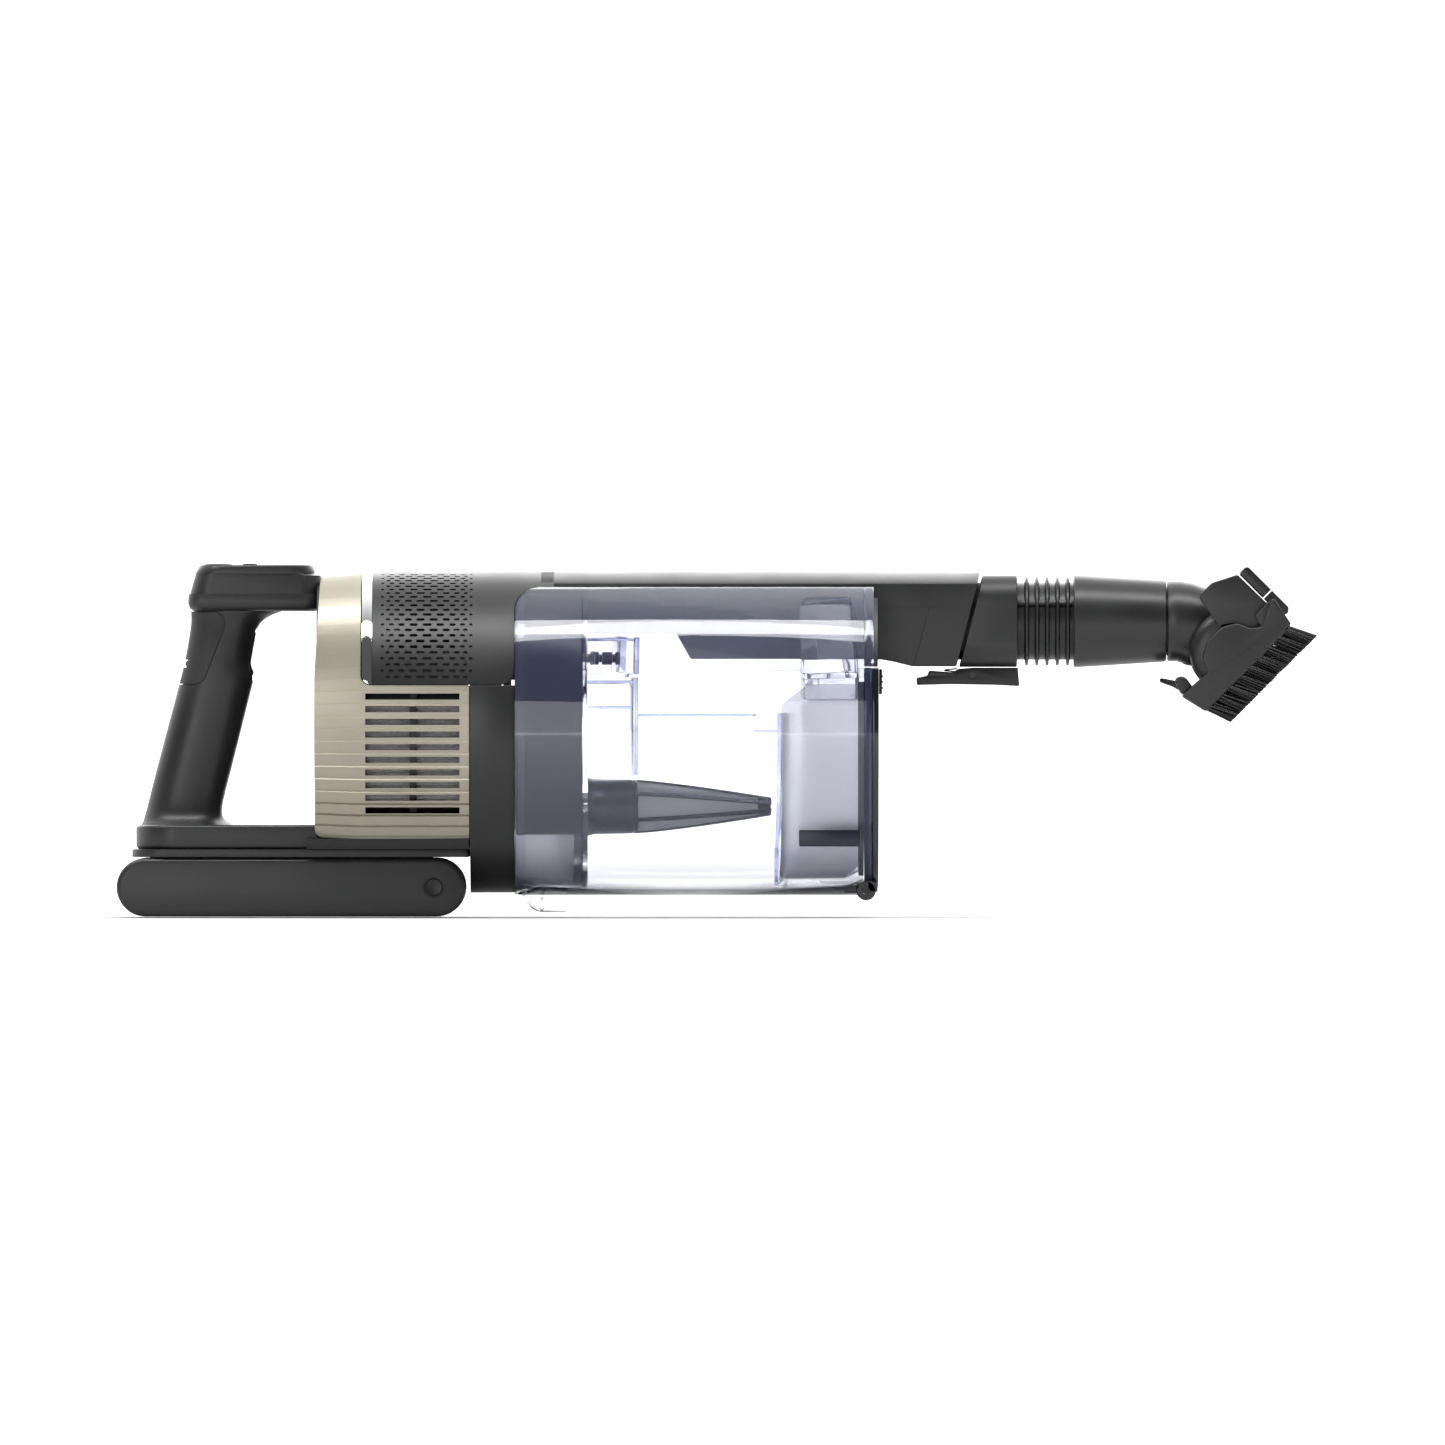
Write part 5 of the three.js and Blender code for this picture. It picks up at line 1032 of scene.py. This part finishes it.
gutter = tube_wall("baffle_gutter", body_curve(-5.4), "YZ", baffle_low.x, baffle_high.x + 4, 1.3)
gutter_limit = slab("gutter_limit", rounded([
    (baffle_low.x - 2, 12, 0), (baffle_high.x - 9, 12, 0), (baffle_high.x + 2, 21, 0), (baffle_high.x + 5, 21, 0),
    (baffle_high.x + 5, 95, 0), (baffle_low.x + 11, 95, 2), (baffle_low.x + 1, 87.5, 2), (baffle_low.x - 2, 86, 0)]),
    "XZ", *ACROSS)
carve(gutter, gutter_limit, "INTERSECT")
is_for(gutter, "dust_cup", smoke_plastic, ("dust_baffle",))
blades = []
for side in (-1, 1):
    blade = block("wiper", (baffle_low.x + 7.5, baffle_high.x + 4.5), sorted((side * 47.6, side * 42)),
                  (28.7, 35.5), 0.4)
    blades.append(blade)
is_for(together("baffle_wipers", blades), "dust_cup", dusk_plastic)

# ---------------------------------------------------------------- cup door

door_top = door_high.z
door = body_plug("door_panel", door_high.x - 2.8, door_high.x, 0.9)
carve(door, body_plug("door_dish", door_high.x - 4, door_high.x - 1.4, -3.2))
door_trim = ring_between("door_trim", body_curve(0.6), body_curve(-1.8), "YZ", CUP_FRONT + 0.3,
                         door_high.x - 2.9)
for panel in (door, door_trim):
    carve(panel, block("door_limit", (200, 260), ACROSS, (HINGE_Z + 1, door_top)), "INTERSECT")
    carve(panel, block("door_notch", (200, 260), (-15, 15), (door_top - 14, door_top + 5)))
round_edges(door, 0.7, 3, 40)
round_edges(door_trim, 0.3, 2, 40)
is_for(door_trim, "cup_door", tinted_plastic)


def hinge_knuckle(name, low, high):
    """A barrel round the hinge pin, with softened ends."""
    profile = [(low, 1.6), (low, 3.7), (low + 0.5, 4.1), (high - 0.5, 4.1), (high, 3.7), (high, 1.6), (low, 1.6)]
    return spun(name, profile, (HINGE_X, 0, HINGE_Z), "Y", 40)


knuckles = []
for low, high in ((-22, -12.2), (12.2, 22)):
    knuckle = hinge_knuckle("knuckle", low, high)
    arm = block("knuckle_arm", (HINGE_X + 0.5, door_high.x - 0.3), (low, high), (HINGE_Z - 0.6, HINGE_Z + 8), 0.4)
    knuckles += [knuckle, arm]
is_for(together("door_panel", [door] + knuckles), "cup_door", gloss_black, ("cup_door",))
cup_knuckle = hinge_knuckle("cup_knuckle", -11.6, 11.6)
knuckle_foot = block("knuckle_foot", (CUP_FRONT - 8, HINGE_X), (-11.6, 11.6), (HINGE_Z - 1, HINGE_Z + 2.4), 0.4)
apron = block("cup_apron", (CUP_FRONT - 1.6, door_high.x - 0.4), (-14.6, 14.6),
              (door_top - 13.6, CHANNEL_FLOOR - 0.2), 0.5)
upper_flange = ring_between("cup_front_flange", cup_section(-0.2), cup_section(-3.4), "YZ",
                            door_high.x - 1.9, door_high.x - 0.4)
carve(upper_flange, block("flange_limit", (200, 260), ACROSS, (door_top + 0.4, 130.4)), "INTERSECT")
is_for(together("cup_front_fittings", [cup_knuckle, knuckle_foot, apron, upper_flange]), "dust_cup",
       black_plastic)
latch_low, latch_high = span("door_latch")
latch = slab("latch_slide", plate(-10, 10, latch_low.z, latch_high.z, 2), "YZ",
             latch_low.x, latch_low.x + 1.2, 0.4, 3)
grips = [block("latch_rib", (latch_low.x + 1.0, latch_low.x + 1.7), (-7, 7), (z, z + 0.9), 0.25)
         for z in (latch_low.z + 2.2, latch_low.z + 4.6, latch_low.z + 7.0)]
is_for(together("latch_slide", [latch] + grips), "door_latch", black_plastic, ("door_latch",))

# ---------------------------------------------------------------- brush tool

fin_profile = [(connector_low.x, 13.4), (connector_low.x, 15.2), (connector_low.x + 1, 15.8)]
for i in range(5):
    x = collar_high.x + 3.2 + 4.2 * i
    fin_profile += [(x - 0.3, 15.8), (x, 16.2), (x + 0.15, 17.9), (x + 0.4, 18.2), (x + 1.1, 18.2), (x + 1.35, 17.9),
                    (x + 1.5, 16.2), (x + 1.8, 15.8)]
fin_profile += [(connector_high.x, 15.8), (connector_high.x, 13.4), (connector_low.x, 13.4)]
fins = spun("finned_connector", fin_profile, (0, 0, NOZZLE_AXIS), "X", 96)
keys = []
for degrees in (27, 153):
    key = block("fin_key", (collar_high.x - 3, sleeve_low.x + 1), (-1.1, 1.1), (15.5, 16.8), 0.3)
    keys.append(place_in_mesh(key, about_line(NOZZLE_AXIS, degrees - 90)))
is_for(together("finned_connector", [fins] + keys), "tool", black_plastic, ("tool_connector",))

sleeve = spun("tapered_sleeve", [
    (sleeve_low.x, 16.2), (sleeve_low.x, 18.5), (sleeve_low.x + 0.5, 18.9), (sleeve_low.x + 2.0, 18.85),
    (sleeve_low.x + 14, 18.1), (sleeve_low.x + 26, 17.35), (sleeve_high.x - 1.0, 16.65), (sleeve_high.x - 0.3, 16.4),
    (sleeve_high.x, 15.9), (sleeve_high.x, 14.4), (sleeve_low.x + 10.5, 14.4), (sleeve_low.x + 10.5, 16.2),
    (sleeve_low.x, 16.2)], (0, 0, NOZZLE_AXIS), "X", 96)
is_for(sleeve, "tool", dark_plastic, ("tool_sleeve",))

# The elbow: a ring extruded and turned along the bend, then narrowed between the head's cheeks
ELBOW_RINGS = [  # x, z above the nozzle's axis, tilt in degrees, half width, half height
    (elbow_low.x, 0.0, 0, 14.0, 14.0), (sleeve_high.x + 0.4, 0.0, 0, 14.0, 14.0),
    (sleeve_high.x + 0.45, 0.0, 0, 15.9, 15.9), (sleeve_high.x + 0.9, 0.0, 0, 16.4, 16.4),
    (sleeve_high.x + 5.0, 0.0, 2, 16.4, 16.4),
    (sleeve_high.x + 8.5, -0.7, 8, 16.1, 16.5), (sleeve_high.x + 12, -2.0, 16, 15.4, 16.4),
    (sleeve_high.x + 15.5, -4.0, 24, 14.2, 15.6), (sleeve_high.x + 19, -6.4, 34, 13.2, 14.4),
    (sleeve_high.x + 22.5, -9.3, 42, 12.8, 12.8), (TILT_X, TILT_Z - NOZZLE_AXIS, 45, 12.7, 11.0),
    (TILT_X + 2.5, TILT_Z - NOZZLE_AXIS - 2.5, 45, 12.6, 9.5)]
pick(None)
x, z, tilt, half_y, half_z = ELBOW_RINGS[0]
start = Vector((x, 0, NOZZLE_AXIS + z)) * MM
bpy.ops.mesh.primitive_circle_add(vertices=64, radius=half_z * MM, fill_type="NGON", location=start,
                                  rotation=(0, math.pi / 2, 0))
elbow = new_piece("bent_elbow")
last = (start, tilt, half_y, half_z)
for x, z, tilt, half_y, half_z in ELBOW_RINGS[1:]:
    centre = Vector((x, 0, NOZZLE_AXIS + z)) * MM
    bpy.ops.mesh.extrude_region_move(TRANSFORM_OT_translate={"value": centre - last[0]})
    squeeze = half_z / last[3]
    bpy.ops.transform.resize(value=(squeeze, half_y / last[2], squeeze), center_override=centre)
    if tilt != last[1]:
        bpy.ops.transform.rotate(value=-math.radians(tilt - last[1]), orient_axis="Y", center_override=centre)
    last = (centre, tilt, half_y, half_z)
settle(elbow)
is_for(elbow, "tool_elbow", dark_plastic, ("tool_elbow",), 50)


def both_cheeks(name, outline, inner, outer, edge, rounds=3):
    """The same plate on each side of the neck."""
    plates = []
    for side in (-1, 1):
        plates.append(slab(name, outline, "XZ", *sorted((side * inner, side * outer)), edge, rounds))
    return together(name, plates)


# The head, drawn with its mouth facing +X
HUB = [(19.5, 0), (19.5, 11.5), (18.6, 14.0), (17.2, 16.3), (15.4, 17.1), (13.4, 17.1), (13.4, 9), (13.4, 0)]
hubs = [spun("head_hub", [(side * along, radius) for along, radius in HUB], (0, 0, 0), "Y", 72) for side in (-1, 1)]
wings = both_cheeks("head_wing", rounded([
    (-25.8, 6.2, 3), (-25.4, 14.4, 3), (-20.5, 24.0, 1), (-2.0, 24.2, 2), (1.0, 12, 2), (-7, 3, 3)]), 17.4, 19.5, 0.6)
mouth_ring = tube_wall("mouth_ring", plate(-19.3, 19.3, -19.8, 19.8, 3), "YZ", 0.2, 9.2, 2.2)
deck = block("head_deck", (-9, -0.4), (-19, 19), (19.2, 24.2), 0.8)
bridge = both_cheeks("head_bridge", rounded([(-6, 8, 2), (8.8, 8, 2), (8.8, 19.6, 2), (-6, 22.5, 2)]), 13.5, 18.6, 0.5)
is_for(on_head(together("brush_head", hubs + [wings, mouth_ring, deck, bridge])), "tool_head",
       dark_plastic, ("tool_head",), 36)

bar_low_x, bar_high_x = -20.4, 5.4
latch_bar = slab("head_latch_bar", rounded([
    (bar_low_x, 24.9, 1.2), (bar_high_x - 1, 24.9, 1.2), (bar_high_x, 27.5, 1.4), (bar_high_x - 1.6, 29.4, 1.0),
    (bar_low_x, 29.4, 1.6)]), "XZ", -19.5, 19.5, 0.6)
for side in (-1, 1):
    carve(latch_bar, drill("bar_pin_seat", side * 21, side * 18.8, 1.5, (-4.6, 0, 27.2), "Y", 24))
notch = block("bar_notch", (-6.4, -5.6), (-25, 25), (24, 31))
carve(latch_bar, notch)
is_for(on_head(latch_bar), "tool_head", black_plastic, ("head_bar",))

flank = rounded([
    (10.2, -24.6, 0.8), (-1.6, -27.4, 1.2), (-0.6, -12.9, 1.8), (-6.4, -10.8, 4), (-9.8, -4.5, 5), (-9.8, 4.5, 5),
    (-6.4, 10.0, 4), (-1.6, 11.9, 1.0), (1.6, 15.6, 1.4), (-3.9, 26.6, 0.8), (-2.6, 27.6, 0.8), (9.4, 25.2, 1.0)], 5)
flanks = both_cheeks("brush_flank", flank, 19.9, 23.2, 1.3, 4)
frame_body = slab("brush_body", plate(-23.0, 23.0, -24.5, 24.5, 3.4), "YZ", 2.0, 10.3, 1.0, 3)
carve(frame_body, slab("brush_opening", plate(-16.5, 16.5, -17.3, 17.3, 2), "YZ", -4, 14))
carve(frame_body, slab("brush_seat", plate(-19.8, 19.8, -20.3, 20.3, 2), "YZ", -4, 9.5))
hook = slab("brush_hook", rounded([(2, -25.0, 0.6), (-5.6, -26.6, 2), (-12.4, -29.9, 1.0), (-12.6, -28.0, 1.2),
                                   (-4.6, -22.6, 2), (2, -21.5, 0.6)], 6), "XZ", -8, 8, 0.8, 3)
posts = both_cheeks("brush_post", rounded([(-1.2, -26.8, 1), (-6.9, -25.6, 2.2), (-9.2, -22.4, 2.2), (-5.4, -20.8, 2),
                                           (-1.0, -21.5, 1)], 5), 15.5, 19.4, 0.8)
teeth = both_cheeks("brush_tooth", rounded([(-3.6, 17.2, 1.6), (0.8, 15.6, 1.6), (3.6, 18.4, 1.6), (-0.4, 25.6, 1.0),
                                            (-3.8, 25.8, 1.0)], 5), 20.1, 22.4, 0.5)
is_for(on_head(together("brush_carrier", [flanks, frame_body, hook, posts, teeth])), "brush",
       dark_plastic, ("brush_frame",), 36)

# Bristles: tufts of tapered strands round the mouth, leaning towards its upper end
random.seed(12)
pick(None)
bpy.ops.mesh.primitive_cone_add(vertices=6, radius1=0.34 * MM, radius2=0.2 * MM, depth=1 * MM,
                                location=(0, 0, 0.5 * MM), end_fill_type="TRIFAN")
strand = settle(new_piece("strand"))
strands = []
half_y, half_z = 20.9, 21.9
STRANDS_PER_TUFT = 42
spots = []
for i in range(9):
    for y in (-half_y, half_y, -half_y + 3.4, half_y - 3.4):
        spots.append((y, -half_z + 2 * half_z * i / 8))
for i in range(1, 8):
    for z in (-half_z, half_z, -half_z + 3.4, half_z - 3.4):
        spots.append((-half_y + 2 * half_y * i / 8, z))
for y, z in spots:
    for _ in range(STRANDS_PER_TUFT):
        reach = 2.25 * math.sqrt(random.random())
        turn = random.random() * 2 * math.pi
        dy, dz = reach * math.cos(turn), reach * math.sin(turn)
        length = 10.4 + random.uniform(-0.5, 0.4)
        lean_z = 4.4 + 0.35 * dz + random.uniform(-0.35, 0.35)
        lean_y = 0.3 * dy + random.uniform(-0.3, 0.3)
        foot = Vector((9.6, y + dy, z + dz))
        tip_at = foot + Vector((length, lean_y, lean_z))
        direction = tip_at - foot
        hair = strand.copy()
        hair.data = strand.data.copy()
        bpy.context.scene.collection.objects.link(hair)
        turn_to = Vector((0, 0, 1)).rotation_difference(direction).to_matrix().to_4x4()
        grow = Matrix.Diagonal((1, 1, direction.length, 1))
        hair.data.transform(Matrix.Translation(foot * MM) @ turn_to @ grow)
        strands.append(hair)
bpy.data.objects.remove(strand)
is_for(on_head(together("bristle_tufts", strands)), "brush", bristle_nylon, ("bristles",), 50)

# ---------------------------------------------------------------- nodes that keep their own shape

CARRIED = {
    "steel": (steel, ["motor_can", "bearing_front", "bearing_rear", "motor_shaft", "lever_spring",
                      "dock_contacts"]),
    "black_steel": (black_steel, ["lever_pin", "door_hinge_pin"]),
    "soft_rubber": (soft_rubber, ["motor_mount", "door_seal"]),
    "black_plastic": (black_plastic, ["power_lead"]),
    "dark_plastic": (dark_plastic, ["impeller"]),
    "circuit_board": (circuit_board, ["control_board", "motor_board"]),
    "cell_wrap": (cell_wrap, ["cell_pack"]),
    "foam": (foam, ["pre_motor_filter"]),
}
for slot_name, (finish, nodes) in CARRIED.items():
    for node in nodes:
        piece = frame["nodes"][node]
        piece.data.materials.clear()
        piece.data.materials.append(finish)
        smooth(piece, 35)

# ---------------------------------------------------------------- floor, light and camera


def studio():
    pick(None)
    bpy.ops.mesh.primitive_plane_add(size=80, location=(0.18, 0, -0.0005))
    floor = bpy.context.object
    floor.name = "studio_floor"
    # The floor paper glows though it is no lamp: painted light, none near the object and more away from it and towards
    # the back.
    paper, tree, surface = shader("studio_paper_painted_light", (0.93, 0.93, 0.93), 0.9, Emission_Strength=0.9)
    surface.inputs["Emission Color"].default_value = (1, 1, 1, 1)
    place = tree.nodes.new("ShaderNodeTexCoord").outputs["Object"]
    # The paper's colour is painted darker near the object: painted shade.
    painted_shade_grey = tree.nodes.new("ShaderNodeCombineColor")
    painted_shade_grey.mode = "HSV"
    tree.links.new(painted_shade_grey.outputs["Color"], surface.inputs["Base Color"])
    near = tree.nodes.new("ShaderNodeVectorMath")
    near.operation = "LENGTH"
    tree.links.new(place, near.inputs[0])
    away = near.outputs["Value"]
    glow = worked_out(tree, "ADD", ranged(tree, away, 0.0, 0.36, 0.35, 2.2),
                      ranged(tree, split_apart(tree, place)["Y"], 0.0, 0.9, 0.3, 2.0))
    tree.links.new(glow, surface.inputs["Emission Strength"])
    tree.links.new(ranged(tree, away, 0.6, 0.93, 0.35, 1.6), painted_shade_grey.inputs["Blue"])
    floor.data.materials.append(paper)
    bpy.ops.object.transform_apply(location=True, rotation=True, scale=True)

    world = bpy.data.worlds.new("studio")
    bpy.context.scene.world = world
    world.use_nodes = True
    tree = world.node_tree
    background = tree.nodes["Background"]
    direction = split_apart(tree, tree.nodes.new("ShaderNodeTexCoord").outputs["Generated"])
    glow = ranged(tree, direction["Y"], 0.1, 1.6, -0.35, 0.45)
    tree.links.new(glow, background.inputs["Strength"])
    background.inputs["Color"].default_value = (1, 1, 1, 1)

    def softbox(name, place, target, wide, high, power):
        lamp = bpy.data.lights.new(name, "AREA")
        lamp.shape = "RECTANGLE"
        lamp.size, lamp.size_y, lamp.energy = wide, high, power
        holder = bpy.data.objects.new(name, lamp)
        bpy.context.scene.collection.objects.link(holder)
        holder.location = place
        holder.rotation_euler = (Vector(target) - Vector(place)).to_track_quat("-Z", "Y").to_euler()

    centre = (0.18, 0, 0.08)
    softbox("overhead_softbox", (0.18, -0.505, 1.55), centre, 2.6, 0.34, 34)
    softbox("front_fill", (-0.7, -2.2, 0.35), centre, 1.0, 1.0, 9)
    softbox("rear_softbox", (0.18, 1.6, 0.9), centre, 2.6, 1.0, 20)

    camera = bpy.data.cameras.new("camera")
    camera.lens, camera.sensor_width = 972.2, 36
    camera.clip_start, camera.clip_end = 1, 120
    holder = bpy.data.objects.new("camera", camera)
    bpy.context.scene.collection.objects.link(holder)
    holder.location = (0.1765, -16, 0.0794)
    holder.rotation_euler = (math.pi / 2, 0, 0)
    bpy.context.scene.camera = holder
    bpy.context.scene.view_settings.view_transform = "Standard"


studio()
